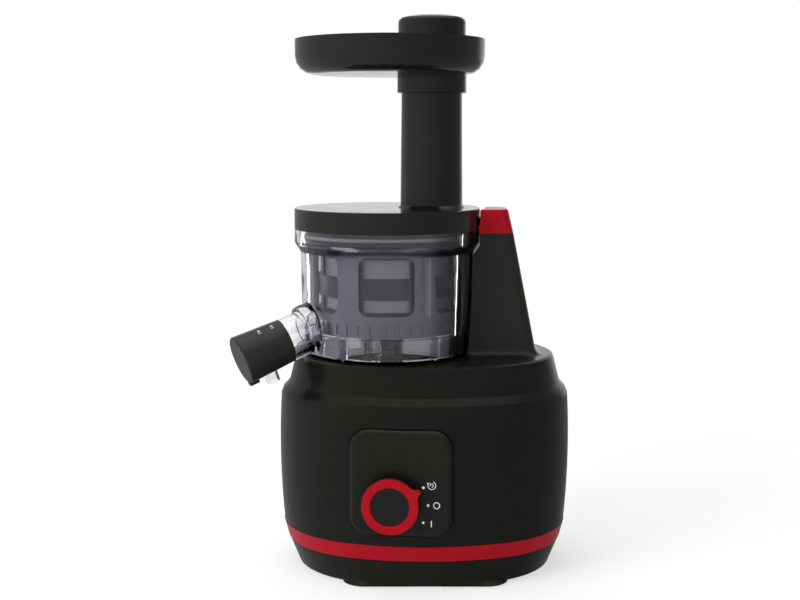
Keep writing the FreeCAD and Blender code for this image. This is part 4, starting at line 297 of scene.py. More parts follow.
def noise(tree, vector, scale, detail=3.0, rough=0.55):
    """A noise texture whose scale may be a number or a socket; gives back its value."""
    node = tree.nodes.new("ShaderNodeTexNoise")
    node.inputs["Detail"].default_value = detail
    node.inputs["Roughness"].default_value = rough
    tree.links.new(vector, node.inputs["Vector"])
    if isinstance(scale, bpy.types.NodeSocket):
        tree.links.new(scale, node.inputs["Scale"])
    else:
        node.inputs["Scale"].default_value = scale
    return node.outputs["Fac"]


def maths(tree, operation, first, second=None, third=None):
    """A math node fed by sockets or numbers; gives back its output socket."""
    node = tree.nodes.new("ShaderNodeMath")
    node.operation = operation
    for slot, value in enumerate((first, second, third)):
        if value is None:
            continue
        if isinstance(value, bpy.types.NodeSocket):
            tree.links.new(value, node.inputs[slot])
        else:
            node.inputs[slot].default_value = value
    return node.outputs[0]


def stretch(tree, value, low, high, to_low=0.0, to_high=1.0):
    """A map range node that clamps; gives back its output socket."""
    node = tree.nodes.new("ShaderNodeMapRange")
    tree.links.new(value, node.inputs["Value"])
    limits = (("From Min", low), ("From Max", high), ("To Min", to_low), ("To Max", to_high))
    for label, number in limits:
        if isinstance(number, bpy.types.NodeSocket):
            tree.links.new(number, node.inputs[label])
        else:
            node.inputs[label].default_value = number
    return node.outputs["Result"]


def split_axes(tree, vector):
    """A separate node of a vector; gives back its three outputs by the name of the axis."""
    node = tree.nodes.new("ShaderNodeSeparateXYZ")
    tree.links.new(vector, node.inputs["Vector"])
    return node.outputs


def shade_colour(tree, colour, shade):
    """A colour socket multiplied by a number socket; gives back the product."""
    node = tree.nodes.new("ShaderNodeVectorMath")
    node.operation = "SCALE"
    tree.links.new(colour, node.inputs[0])
    tree.links.new(shade, node.inputs["Scale"])
    return node.outputs["Vector"]


def blend_colour(tree, fac, first, second):
    """A colour mix node; gives back its colour output."""
    node = tree.nodes.new("ShaderNodeMix")
    node.data_type = "RGBA"
    tree.links.new(fac, node.inputs["Factor"])
    for label, value in (("A", first), ("B", second)):
        socket = next(s for s in node.inputs if s.name == label and s.type == "RGBA")
        if isinstance(value, bpy.types.NodeSocket):
            tree.links.new(value, socket)
        else:
            socket.default_value = value
    return next(s for s in node.outputs if s.type == "RGBA")


def moulded_group():
    """Moulded plastic: faint tone drift, wipe marks in the gloss, orange peel and dust."""
    tree, start, end = new_group(
        "moulded_surface",
        (
            ("Vector", "NodeSocketVector", (0.0, 0.0, 0.0)),
            ("Colour", "NodeSocketColor", (0.02, 0.02, 0.02, 1.0)),
            ("Drift", "NodeSocketFloat", 0.08),
            ("Roughness", "NodeSocketFloat", 0.2),
            ("Smudge", "NodeSocketFloat", 0.08),
            ("Grain Scale", "NodeSocketFloat", 900.0),
            ("Grain", "NodeSocketFloat", 0.3),
            ("Dust", "NodeSocketFloat", 0.01),
        ),
        (
            ("Colour", "NodeSocketColor"),
            ("Roughness", "NodeSocketFloat"),
            ("Height", "NodeSocketFloat"),
        ),
    )
    vector = start.outputs["Vector"]
    drift = noise(tree, vector, scale=14.0, detail=4.0)
    smudge = noise(tree, vector, scale=42.0, detail=5.0, rough=0.62)
    grain = noise(tree, vector, scale=start.outputs["Grain Scale"], detail=2.0, rough=0.4)
    peel = noise(tree, vector, scale=180.0, detail=2.0, rough=0.4)
    speck = noise(tree, vector, scale=1500.0, detail=1.0, rough=0.3)
    patch = noise(tree, vector, scale=60.0, detail=2.0, rough=0.5)

    shade = stretch(tree, drift, 0.3, 0.7, -1.0, 1.0)
    shade = maths(tree, "MULTIPLY_ADD", shade, start.outputs["Drift"], 1.0)
    tone = shade_colour(tree, start.outputs["Colour"], shade)

    specks = stretch(tree, speck, 0.66, 0.74)
    patches = stretch(tree, patch, 0.42, 0.62)
    dust = maths(tree, "MULTIPLY", specks, patches)
    dust = maths(tree, "MULTIPLY", dust, start.outputs["Dust"])
    tree.links.new(blend_colour(tree, dust, tone, DUST_COLOUR), end.inputs["Colour"])

    wiped = stretch(tree, smudge, 0.42, 0.68)
    rough = maths(tree, "MULTIPLY_ADD", wiped, start.outputs["Smudge"], start.outputs["Roughness"])
    rough = maths(tree, "ADD", rough, dust)
    tree.links.new(rough, end.inputs["Roughness"])

    fine = maths(tree, "MULTIPLY", grain, start.outputs["Grain"])
    height = maths(tree, "ADD", fine, peel)
    tree.links.new(height, end.inputs["Height"])


def brushed_group():
    """Metal drawn or turned: streaks stretched along one axis, with a soft stain."""
    tree, start, end = new_group(
        "brushed_metal",
        (
            ("Vector", "NodeSocketVector", (0.0, 0.0, 0.0)),
            ("Colour", "NodeSocketColor", (0.6, 0.6, 0.6, 1.0)),
            ("Roughness", "NodeSocketFloat", 0.3),
            ("Streak", "NodeSocketFloat", 0.12),
            ("Stretch", "NodeSocketVector", (60.0, 60.0, 1800.0)),
        ),
        (
            ("Colour", "NodeSocketColor"),
            ("Roughness", "NodeSocketFloat"),
            ("Height", "NodeSocketFloat"),
        ),
    )
    scaled = tree.nodes.new("ShaderNodeVectorMath")
    scaled.operation = "MULTIPLY"
    tree.links.new(start.outputs["Vector"], scaled.inputs[0])
    tree.links.new(start.outputs["Stretch"], scaled.inputs[1])
    streak = noise(tree, scaled.outputs["Vector"], scale=1.0, detail=4.0, rough=0.6)
    stain = noise(tree, start.outputs["Vector"], scale=30.0)
    shade = stretch(tree, streak, 0.3, 0.7, 0.82, 1.08)
    tree.links.new(shade_colour(tree, start.outputs["Colour"], shade), end.inputs["Colour"])
    rough = maths(tree, "MULTIPLY_ADD", streak, start.outputs["Streak"], start.outputs["Roughness"])
    rough = maths(tree, "MULTIPLY_ADD", stain, 0.06, rough)
    tree.links.new(rough, end.inputs["Roughness"])
    tree.links.new(streak, end.inputs["Height"])


def wire_cloth_group():
    """Woven filter cloth: the larger of two waves, each the absolute sine of the way round
    or up the drum over the pitch, is the height of the threads and lightens them."""
    tree, start, end = new_group(
        "woven_wire",
        (
            ("Vector", "NodeSocketVector", (0.0, 0.0, 0.0)),
            ("Colour", "NodeSocketColor", (0.6, 0.6, 0.6, 1.0)),
            ("Pitch", "NodeSocketFloat", 0.0008),
            ("Drum Radius", "NodeSocketFloat", 0.045),
        ),
        (
            ("Colour", "NodeSocketColor"),
            ("Height", "NodeSocketFloat"),
        ),
    )
    axes = split_axes(tree, start.outputs["Vector"])
    turn = maths(tree, "ARCTAN2", axes["Y"], axes["X"])
    round_way = maths(tree, "MULTIPLY", turn, start.outputs["Drum Radius"])
    waves = []
    for along in (round_way, axes["Z"]):
        phase = maths(tree, "DIVIDE", along, start.outputs["Pitch"])
        wave = maths(tree, "SINE", maths(tree, "MULTIPLY", phase, math.pi))
        waves.append(maths(tree, "ABSOLUTE", wave))
    threads = maths(tree, "MAXIMUM", *waves)
    shade = stretch(tree, threads, 0.35, 0.95, 0.35, 1.0)
    tree.links.new(shade_colour(tree, start.outputs["Colour"], shade), end.inputs["Colour"])
    tree.links.new(threads, end.inputs["Height"])


# Materials.


def node_of(material, kind):
    """The first node of a kind in a material."""
    return next(node for node in material.node_tree.nodes if node.type == kind)


def new_material(name):
    """A node material with its Principled shader and an Object coordinate socket."""
    material = bpy.data.materials.new(name)
    material.use_nodes = True
    tree = material.node_tree
    shader = node_of(material, "BSDF_PRINCIPLED")
    place = tree.nodes.new("ShaderNodeTexCoord")
    return material, tree, shader, place.outputs["Object"]


def group_node(tree, group, vector, values):
    """A group placed in a material with its own values."""
    node = tree.nodes.new("ShaderNodeGroup")
    node.node_tree = group
    tree.links.new(vector, node.inputs["Vector"])
    for label, value in values.items():
        node.inputs[label].default_value = value
    return node


def bump(tree, height, shader, strength, distance, edge=0.0):
    """A bump from a height; a small edge radius rounds sharp edges in the shading."""
    node = tree.nodes.new("ShaderNodeBump")
    node.inputs["Strength"].default_value = strength
    node.inputs["Distance"].default_value = distance
    tree.links.new(height, node.inputs["Height"])
    if edge:
        rounder = tree.nodes.new("ShaderNodeBevel")
        rounder.samples = 4
        rounder.inputs["Radius"].default_value = edge
        tree.links.new(rounder.outputs["Normal"], node.inputs["Normal"])
    tree.links.new(node.outputs["Normal"], shader.inputs["Normal"])


def fade_along(tree, vector, tint, axis, start, end, depth, colour):
    """Blends a tint into a colour along an axis of the piece: not at all at the start and
    by the depth from the end on."""
    share = stretch(tree, split_axes(tree, vector)[axis], start, end, 0.0, depth)
    return blend_colour(tree, share, tint, (*colour, 1.0))


def moulded(name, colour, rough, smudge=0.06, drift=0.06, grain=0.3, bumpiness=0.02,
            dust=0.02, coat=0.0, edge=0.4 * MM, specular=0.5, glint=WHITE, fades=()):
    """Moulded plastic or rubber: glint tints its straight-on reflection, and each fade is
    an axis, a start, an end, a depth and a colour that its own colour blends into."""
    material, tree, shader, vector = new_material(name)
    skin = group_node(tree, bpy.data.node_groups["moulded_surface"], vector, {
        "Colour": (*colour, 1.0), "Drift": drift, "Roughness": rough, "Smudge": smudge,
        "Grain": grain, "Dust": dust,
    })
    tint = skin.outputs["Colour"]
    for fade in fades:
        tint = fade_along(tree, vector, tint, *fade)
    tree.links.new(tint, shader.inputs["Base Color"])
    tree.links.new(skin.outputs["Roughness"], shader.inputs["Roughness"])
    shader.inputs["IOR"].default_value = 1.49
    shader.inputs["Specular IOR Level"].default_value = specular
    shader.inputs["Specular Tint"].default_value = (*glint, 1.0)
    shader.inputs["Coat Weight"].default_value = coat
    shader.inputs["Coat Roughness"].default_value = 0.05
    bump(tree, skin.outputs["Height"], shader, bumpiness, 1 * MM, edge)
    return material


def clear_plastic(name, colour, rough, fades=()):
    """See-through moulded plastic."""
    material = moulded(name, colour, rough, smudge=0.03, drift=0.02, grain=0.2,
                       bumpiness=0.01, dust=0.0, edge=0.0, fades=fades)
    shader = node_of(material, "BSDF_PRINCIPLED")
    shader.inputs["IOR"].default_value = 1.5
    shader.inputs["Transmission Weight"].default_value = 1.0
    return material


def metal(name, colour, rough, stretch_by=(60.0, 60.0, 1800.0), bumpiness=0.03):
    """Drawn, turned or stacked metal; its streaks are fine along the largest stretch."""
    material, tree, shader, vector = new_material(name)
    skin = group_node(tree, bpy.data.node_groups["brushed_metal"], vector, {
        "Colour": (*colour, 1.0), "Roughness": rough, "Stretch": stretch_by,
    })
    tree.links.new(skin.outputs["Colour"], shader.inputs["Base Color"])
    tree.links.new(skin.outputs["Roughness"], shader.inputs["Roughness"])
    shader.inputs["Metallic"].default_value = 1.0
    bump(tree, skin.outputs["Height"], shader, bumpiness, 0.5 * MM)
    return material


def filter_cloth(name, colour):
    """Fine woven steel of the strainer wall."""
    material, tree, shader, vector = new_material(name)
    low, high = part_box("strainer_screen")
    centre = tree.nodes.new("ShaderNodeMapping")
    centre.inputs["Location"].default_value = (
        -(low[0] + high[0]) / 2, -(low[1] + high[1]) / 2, 0.0)
    tree.links.new(vector, centre.inputs["Vector"])
    weave = group_node(tree, bpy.data.node_groups["woven_wire"], centre.outputs["Vector"], {
        "Colour": (*colour, 1.0), "Drum Radius": (high[0] - low[0]) / 2,
    })
    tree.links.new(weave.outputs["Colour"], shader.inputs["Base Color"])
    shader.inputs["Metallic"].default_value = 0.3
    shader.inputs["Roughness"].default_value = 0.4
    bump(tree, weave.outputs["Height"], shader, 0.4, 0.4 * MM)
    return material


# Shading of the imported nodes: joined corners, smooth faces, sharp edges kept.


def smoothing_group(name, limit):
    """A modifier group: merge by distance, smooth every face, keep the edges sharp whose
    angle is over the limit in degrees."""
    tree = bpy.data.node_groups.new(name, "GeometryNodeTree")
    tree.interface.new_socket(name="Geometry", in_out="INPUT", socket_type="NodeSocketGeometry")
    tree.interface.new_socket(name="Geometry", in_out="OUTPUT", socket_type="NodeSocketGeometry")
    start, end = tree.nodes.new("NodeGroupInput"), tree.nodes.new("NodeGroupOutput")
    merge = tree.nodes.new("GeometryNodeMergeByDistance")
    merge.inputs["Distance"].default_value = MERGE_REACH
    faces = tree.nodes.new("GeometryNodeSetShadeSmooth")
    faces.domain = "FACE"
    faces.inputs["Shade Smooth"].default_value = True
    angle = tree.nodes.new("GeometryNodeInputMeshEdgeAngle")
    over = tree.nodes.new("FunctionNodeCompare")
    over.data_type = "FLOAT"
    over.operation = "GREATER_THAN"
    over.inputs["B"].default_value = math.radians(limit)
    edges = tree.nodes.new("GeometryNodeSetShadeSmooth")
    edges.domain = "EDGE"
    edges.inputs["Shade Smooth"].default_value = False
    tree.links.new(start.outputs[0], merge.inputs["Geometry"])
    tree.links.new(merge.outputs["Geometry"], faces.inputs["Geometry"])
    tree.links.new(faces.outputs["Geometry"], edges.inputs["Geometry"])
    tree.links.new(angle.outputs["Unsigned Angle"], over.inputs["A"])
    tree.links.new(over.outputs["Result"], edges.inputs["Selection"])
    tree.links.new(edges.outputs["Geometry"], end.inputs[0])
    return tree


def smooth_node(node, group):
    """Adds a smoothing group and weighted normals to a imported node."""
    smoothing = node.modifiers.new("smooth", "NODES")
    smoothing.node_group = group
    weighted = node.modifiers.new("weighted", "WEIGHTED_NORMAL")
    weighted.mode = "FACE_AREA"
    weighted.weight = 50
    weighted.keep_sharp = True


def paint(material, *names):
    """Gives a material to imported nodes."""
    for name in names:
        slots = NODES[name].data.materials
        slots.clear()
        slots.append(material)


# Sizes and colours that a user may change.


def colour_property(label, description, default):
    """A colour of the sidebar, in linear light."""
    return bpy.props.FloatVectorProperty(
        name=label, description=description, default=default, subtype="COLOR", size=3,
        min=0.0, max=1.0)


def length_property(label, description, millimetres):
    """A length of the sidebar, held in metres."""
    return bpy.props.FloatProperty(
        name=label, description=description, default=millimetres * MM, unit="LENGTH",
        subtype="DISTANCE", precision=5)


class JuicerFinishes(bpy.types.PropertyGroup):
    """Colours of the mouldings."""

    shell: colour_property(
        "Shell", "Black of the base and the knob", (0.0052, 0.0054, 0.0042))
    column: colour_property(
        "Column", "Black of the column and the spout cap", (0.015, 0.0145, 0.013))
    lid: colour_property(
        "Lid", "Black of the lid, the tray and the pusher", (0.0065, 0.0064, 0.0056))
    trim: colour_property(
        "Trim", "Red of the band, the column cap and the knob ring", (0.31, 0.0012, 0.0085))
    smoke: colour_property(
        "Smoke", "Tint of the clear bowl", (0.70, 0.68, 0.73))
    works: colour_property(
        "Works", "Grey of the brush cage", (0.2, 0.195, 0.215))
    rubber: colour_property(
        "Rubber", "Black of the feet, the cord bush and the shaft seal", (0.018, 0.018, 0.018))
    silicone: colour_property(
        "Silicone", "Grey of the seals and the wiper blades", (0.36, 0.35, 0.39))


class JuicerPrint(bpy.types.PropertyGroup):
    """Sizes of the printed marks."""

    reach: length_property("Reach", "Dots from the centre of the marks", 25.2)
    drop: length_property("Drop", "Centre of the marks under the knob axis", 1.4)
    dot: length_property("Dot", "Radius of a dot", 0.95)
    sign_reach: length_property("Sign reach", "Signs from the centre of the marks", 31.1)
    ring: length_property("Off ring", "Radius of the off sign", 2.1)
    bar: length_property("On bar", "Height of the on sign", 4.6)
    line: length_property("Line", "Width of a printed line", 0.62)
    icon: length_property("Reverse sign", "Radius of the reverse sign", 2.75)
    film: length_property("Film", "Thickness of the print over the surface", 0.05)


class JuicerToes(bpy.types.PropertyGroup):
    """Sizes of the base pan and its plinth, which the moulded toes join."""

    foot_length: length_property("Foot length", "Half length of the pan at its foot", 94.0)
    foot_width: length_property("Foot width", "Half width of the pan at its foot", 71.0)
    plinth_length: length_property("Plinth length", "Half length of the plinth", 59.0)
    plinth_width: length_property("Plinth width", "Half width of the plinth", 70.5)
    corner: length_property("Corner", "Corner radius of the plinth", 16.0)
    plinth_rise: length_property("Plinth rise", "Height of the plinth", 0.7)
    rise: length_property("Rise", "Height of a toe", 10.5)


class JuicerStudio(bpy.types.PropertyGroup):
    """The floor, the lamps and the camera."""

    focal: bpy.props.FloatProperty(
        name="Focal length", description="Lens of the camera in millimetres", default=56.43,
        subtype="DISTANCE_CAMERA")
    distance: length_property("Distance", "Camera in front of the drive axis", 918.5)
    aside: length_property("Aside", "Camera to the right of the drive axis", 9.4)
    eye: length_property("Eye height", "Camera over the floor", 319.4)
    tilt: bpy.props.FloatProperty(
        name="Tilt", description="Camera below the horizon", default=0.1347, subtype="ANGLE",
        unit="ROTATION")
    floor: colour_property("Floor", "Colour of the floor", (0.93, 0.93, 0.93))
    pool: length_property("Shadow pool", "Floor round the object that keeps its shadow", 260.0)
    surround: bpy.props.FloatProperty(
        name="Surround", description="Strength of the light from all round", default=0.42, min=0.0)
    mirror_left: bpy.props.FloatProperty(
        name="Mirrored left", description="Strength of the surround mirrored from the left",
        default=0.42, min=0.0)
    mirror_top: bpy.props.FloatProperty(
        name="Mirrored top", description="Strength of the surround mirrored from above",
        default=0.9, min=0.0)
    mirror_right: bpy.props.FloatProperty(
        name="Mirrored right", description="Strength of the surround mirrored from the right",
        default=0.2, min=0.0)


# Operators, one for each group of pieces.


class SmoothParts(bpy.types.Operator):
    """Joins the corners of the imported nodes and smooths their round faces"""

    bl_idname = "juicer.smooth_parts"
    bl_label = "Smooth the parts"

    def execute(self, context):
        soft = smoothing_group("smooth_soft", SOFT_LIMIT)
        crisp = smoothing_group("smooth_crisp", CRISP_LIMIT)
        for name, node in NODES.items():
            smooth_node(node, crisp if name == "top_cover" else soft)
        return {"FINISHED"}


class BuildEffects(bpy.types.Operator):
    """Makes the shader groups that the finishes share"""

    bl_idname = "juicer.build_effects"
    bl_label = "Build the effects"

    def execute(self, context):
        moulded_group()
        brushed_group()
        wire_cloth_group()
        return {"FINISHED"}


class DressBase(bpy.types.Operator):
    """Black shell, column and panel, red band and cap, rubber feet and screws of the base"""

    bl_idname = "juicer.dress_base"
    bl_label = "Dress the base"

    def execute(self, context):
        tint = context.scene.juicer_finishes
        shell = {"colour": tint.shell, "rough": 0.24, "specular": 0.34, "glint": SHELL_GLINT}
        paint(moulded("shell_black", **shell), "base_housing", "base_pan")
        deck = JOINTS["drive_spin"]["pos_m"][2]
        lighter = ("Z", deck, deck + COLUMN_FADE, 1.0, tint.column)
        paint(moulded("cover_black", **shell, fades=(lighter,)), "top_cover")
        paint(moulded("panel_black", tint.shell, 0.32, smudge=0.05, glint=SHELL_GLINT),
              "control_panel")
        paint(moulded("trim_red", tint.trim, 0.22, smudge=0.05, drift=0.04, dust=0.01,
                      specular=0.35, glint=TRIM_GLINT), "trim_band", "column_cap")
        paint(moulded("rubber_black", tint.rubber, 0.7, smudge=0.1, grain=1.2, bumpiness=0.12,
                      dust=0.15), "rubber_feet", "cord_bush", "shaft_seal")
        paint(metal("screw_steel", (0.5, 0.5, 0.5), 0.32), "case_screws")
        return {"FINISHED"}


def oval_reach(turn, half_length, half_width):
    """Distance from the centre of an oval of four arcs to its edge, for an array of angles.
    Two end arcs have their centres on the long axis and two side arcs on the short one. A
    ray meets a side arc where it leans more, seen from the centre of that arc, than the
    point where both arcs join. The equation of its circle gives the distance to an arc."""
    end = END_SHARE * half_width
    reach = half_length - end
    side = (reach ** 2 + half_width ** 2 - end ** 2) / (2 * (half_width - end))
    across, along = np.abs(np.cos(turn)), np.abs(np.sin(turn))
    drop = side - half_width
    by_side = -drop * along + np.sqrt(side ** 2 - (drop * across) ** 2)
    by_end = reach * across + np.sqrt(np.maximum(end ** 2 - (reach * along) ** 2, 0.0))
    lean = np.arctan2(drop + by_side * along, by_side * across)
    return np.where(lean > math.atan2(drop, reach), by_side, by_end)


def box_reach(turn, half_length, half_width, corner):
    """Distance from the centre of a rounded rectangle to its edge, for an array of angles:
    the nearer of the two straight sides, or the corner's circle where a ray passes both."""
    across, along = np.abs(np.cos(turn)), np.abs(np.sin(turn))
    flat = np.minimum(half_length / np.maximum(across, TINY), half_width / np.maximum(along, TINY))
    x, y = half_length - corner, half_width - corner
    middle = x * across + y * along
    round_off = middle + np.sqrt(np.maximum(middle ** 2 - x ** 2 - y ** 2 + corner ** 2, 0.0))
    in_corner = (flat * across > x) & (flat * along > y)
    return np.where(in_corner, round_off, flat)


class MouldToes(bpy.types.Operator):
    """Four moulded toes that carry the skirt of the base pan down to the plinth corners"""

    bl_idname = "juicer.mould_toes"
    bl_label = "Mould the toes"

    def execute(self, context):
        toes = context.scene.juicer_toes
        low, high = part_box("base_pan")
        centre = (low + high) / 2
        brim = (high - low) / 2
        foot_z = low[2] + toes.plinth_rise

        def plinth(turn):
            return box_reach(turn, toes.plinth_length, toes.plinth_width, toes.corner)

        def skirt(turn, level):
            up = (level - foot_z) / (high[2] - foot_z)
            return oval_reach(turn, toes.foot_length + up * (brim[0] - toes.foot_length),
                              toes.foot_width + up * (brim[1] - toes.foot_width))

        def ring(turn, level, reach):
            return np.stack((centre[0] + reach * np.cos(turn), centre[1] + reach * np.sin(turn),
                             np.full_like(turn, level)), axis=-1)

        # A toe stands where the plinth reaches out past the foot of the pan. Its rows go out
        # under the plinth, up its side and on to the skirt, where each blends the wider of the
        # two outlines into the skirt by the square of the way that is left.

        turns = np.linspace(0.0, 2 * math.pi, TOE_STEPS, endpoint=False)
        past = (plinth(turns) > skirt(turns, foot_z)).astype(int)
        ends = np.flatnonzero(np.diff(past))
        parts = []
        for first, last in zip(ends[0::2], ends[1::2]):
            turn = np.linspace(turns[first], turns[last + 1], TOE_COLUMNS)
            edge = plinth(turn)
            rows = [(low[2], edge - TOE_LIP), (low[2], edge + TOE_SKIN), (foot_z, edge + TOE_SKIN)]
            for share in np.linspace(0.0, 1.0, TOE_ROWS)[1:]:
                level = foot_z + share * toes.rise
                wall = skirt(turn, level)
                swell = (1.0 - share) ** 2
                skin = TOE_SKIN * (1.0 - 2.0 * share)
                reach = swell * np.maximum(edge, wall) + (1.0 - swell) * wall + skin
                rows.append((level, reach))
            points = np.stack([ring(turn, level, reach) for level, reach in rows])
            parts.append((points, grid_faces(len(rows), TOE_COLUMNS)[:, ::-1]))
        mesh_piece("pan_toes", parts, "base", bpy.data.materials["shell_black"])
        return {"FINISHED"}


class DressKnob(bpy.types.Operator):
    """Black skirt and face and gloss red ring of the knob"""

    bl_idname = "juicer.dress_knob"
    bl_label = "Dress the knob"

    def execute(self, context):
        tint = context.scene.juicer_finishes
        paint(moulded("knob_black", tint.shell, 0.38, grain=0.8, bumpiness=0.05, dust=0.03),
              "knob_body")
        paint(moulded("knob_red", tint.trim, 0.18, smudge=0.04, dust=0.0, coat=0.1,
                      specular=0.3, glint=TRIM_GLINT), "knob_ring")
        return {"FINISHED"}


class DressBowl(bpy.types.Operator):
    """Smoke tinted bowl with painted shade by the column and painted light on its far side, the
    spout's black cap and clear nose, and all grey seals
    """

    bl_idname = "juicer.dress_bowl"
    bl_label = "Dress the bowl"

    def execute(self, context):
        tint = context.scene.juicer_finishes
        axis = JOINTS["drive_spin"]["pos_m"][0]
        # Painted shade darkens the bowl to black towards the column, and painted light pales it to
        # white on the far side.
        fades = [("X", axis + begin, axis + end, depth, colour)
                 for (begin, end, depth), colour in ((BOWL_PAINTED_SHADE, BLACK), (BOWL_PAINTED_LIGHT, WHITE))]
        paint(clear_plastic("bowl_smoke", tint.smoke, 0.02, fades), "juice_bowl")
        paint(clear_plastic("nose_clear", (0.9, 0.9, 0.91), 0.08), "spout_nose")
        paint(moulded("silicone_grey", tint.silicone, 0.5, grain=0.8, bumpiness=0.05),
              "bowl_seal", "pulp_plug", "spout_seal", "wiper_blades", "lid_gasket")
        paint(moulded("cap_black", tint.column, 0.3), "spout_cap")
        return {"FINISHED"}


class DressWorks(bpy.types.Operator):
    """Brush cage, strainer, auger and gear inside the bowl, and both bushes"""

    bl_idname = "juicer.dress_works"
    bl_label = "Dress the works"

    def execute(self, context):
        tint = context.scene.juicer_finishes
        paint(moulded("cage_grey", tint.works, 0.36, smudge=0.08, drift=0.05, grain=0.5),
              "brush_holder")
        paint(moulded("frame_grey", (0.03, 0.028, 0.034), 0.4, smudge=0.08), "strainer_frame")
        paint(moulded("auger_grey", (0.3, 0.29, 0.33), 0.34, smudge=0.08), "auger")
        paint(moulded("gear_white", (0.66, 0.65, 0.62), 0.42), "idler_gear", "output_bush",
              "lid_bush")
        paint(filter_cloth("strainer_cloth", (0.42, 0.42, 0.44)), "strainer_screen")
        return {"FINISHED"}


class DressLid(bpy.types.Operator):
    """Gloss black lid with its feed tube, tray and pusher"""

    bl_idname = "juicer.dress_lid"
    bl_label = "Dress the lid"

    def execute(self, context):
        tint = context.scene.juicer_finishes
        paint(moulded("lid_black", tint.lid, 0.13, smudge=0.05, specular=0.6),
              "lid", "feed_tray", "pusher_body", "pusher_cap")
        return {"FINISHED"}


class DressDrive(bpy.types.Operator):
    """Motor, gearbox, shafts, switch and circuit board inside the base"""

    bl_idname = "juicer.dress_drive"
    bl_label = "Dress the drive"

    def execute(self, context):
        paint(metal("turned_steel", (0.58, 0.58, 0.59), 0.24),
              "drive_shaft", "knob_spindle", "motor_can")
        paint(metal("stacked_iron", (0.32, 0.31, 0.3), 0.42, stretch_by=(30.0, 30.0, 6000.0),
                    bumpiness=0.2), "motor_stator", "motor_rotor")
        paint(moulded("inner_black", (0.03, 0.03, 0.032), 0.5, grain=1.0, bumpiness=0.08),
              "gearbox_case", "gearbox_cover", "rotary_switch", "motor_fan")
        paint(moulded("board_green", (0.02, 0.11, 0.045), 0.32, drift=0.1), "circuit_board")
        return {"FINISHED"}


class PrintMarks(bpy.types.Operator):
    """Pale marks printed beside the knob and on the spout cap"""

    bl_idname = "juicer.print_marks"
    bl_label = "Print the marks"

    def panel_signs(self, sizes, film):
        """Three dots round the knob, and beside them the off ring, the on bar and the turned
        arrow of reverse with its barb, its swirl and its stem."""
        joint = JOINTS["knob_turn"]
        panel = Plane(joint["pos_m"], joint["axis"])
        line = sizes.line

        def around(middle, reach, degrees):
            turn = math.radians(degrees)
            return middle + reach * np.array((math.cos(turn), math.sin(turn)))

        def stroke(points, width, closed=False):
            return ribbon(panel, points, width, *film, closed=closed)

        centre = np.array((0.0, -sizes.drop))
        ring = around(centre, sizes.sign_reach, 0.0)
        bar = around(centre, sizes.sign_reach - line, ON_TURN)
        bar_ends = np.array(((0.0, -0.5), (0.0, 0.5))) * sizes.bar
        icon = around(centre, sizes.sign_reach, REVERSE_TURN)
        barb = around(icon, sizes.icon, REVERSE_ARC[0]) + np.array(BARB) * line * BARB_SHARE
        parts = [dot(panel, around(centre, sizes.reach, turn), sizes.dot, *film)
                 for turn in DOT_TURNS]
        parts.append(stroke(ring_line(ring, sizes.ring), line, closed=True))
        parts.append(stroke(bar + bar_ends, line * BAR_LINE))
        parts.append(stroke(arc_line(icon, sizes.icon, *REVERSE_ARC, steps=30),
                            line * ARC_LINE))
        parts.append(stroke(barb, line * FINE_LINE))
        swirl = arc_line(icon, sizes.icon * SWIRL_SHARE, *SWIRL_ARC, steps=12)
        parts.append(stroke(swirl, line * FINE_LINE))
        parts.append(stroke(icon + np.array(STEM) * sizes.icon, line * FINE_LINE))
        return parts

    def spout_signs(self, film):
        """Two signs on the drum of the spout cap, each a small ring and a short line."""
        spout = JOINTS["spout_cap_turn"]
        drum = Drum(spout["pos_m"], spout["axis"], CAP_NEAR, CAP_FAR, CAP_NEAR_RADIUS,
                    CAP_FAR_RADIUS)
        parts = []
        for spot in CAP_SIGNS:
            ring = ring_line(spot, CAP_RING, steps=20)
            parts.append(ribbon(drum, ring, CAP_LINE, *film, closed=True))
            parts.append(ribbon(drum, np.add(spot, CAP_STROKE), CAP_LINE, *film))
        return parts

    def execute(self, context):
        sizes = context.scene.juicer_print
        film = (-sizes.film, sizes.film)
        ink = moulded("mark_ink", (0.72, 0.72, 0.7), 0.55, smudge=0.02, dust=0.0, edge=0.0)
        mesh_piece("panel_marks", self.panel_signs(sizes, film), "base", ink)
        mesh_piece("spout_marks", self.spout_signs(film), "spout_cup", ink)
        return {"FINISHED"}


def area_lamp(name, place, aim, width, height, power, mirrored=False):
    """A rectangular soft lamp turned to a point, hidden from the camera and, unless it is
    mirrored, from glossy surfaces."""
    light = bpy.data.lights.new(name, "AREA")
    light.shape = "RECTANGLE"
    light.size, light.size_y = width, height
    light.energy = power
    lamp = bpy.data.objects.new(name, light)
    bpy.context.scene.collection.objects.link(lamp)
    face = Plane(place, np.subtract(place, aim))
    axes = np.eye(4)
    axes[:3] = np.stack((face.across, face.up, face.outward, face.origin), axis=1)
    lamp.matrix_world = Matrix(axes.tolist())
    lamp.visible_camera = False
    lamp.visible_glossy = mirrored
    return lamp


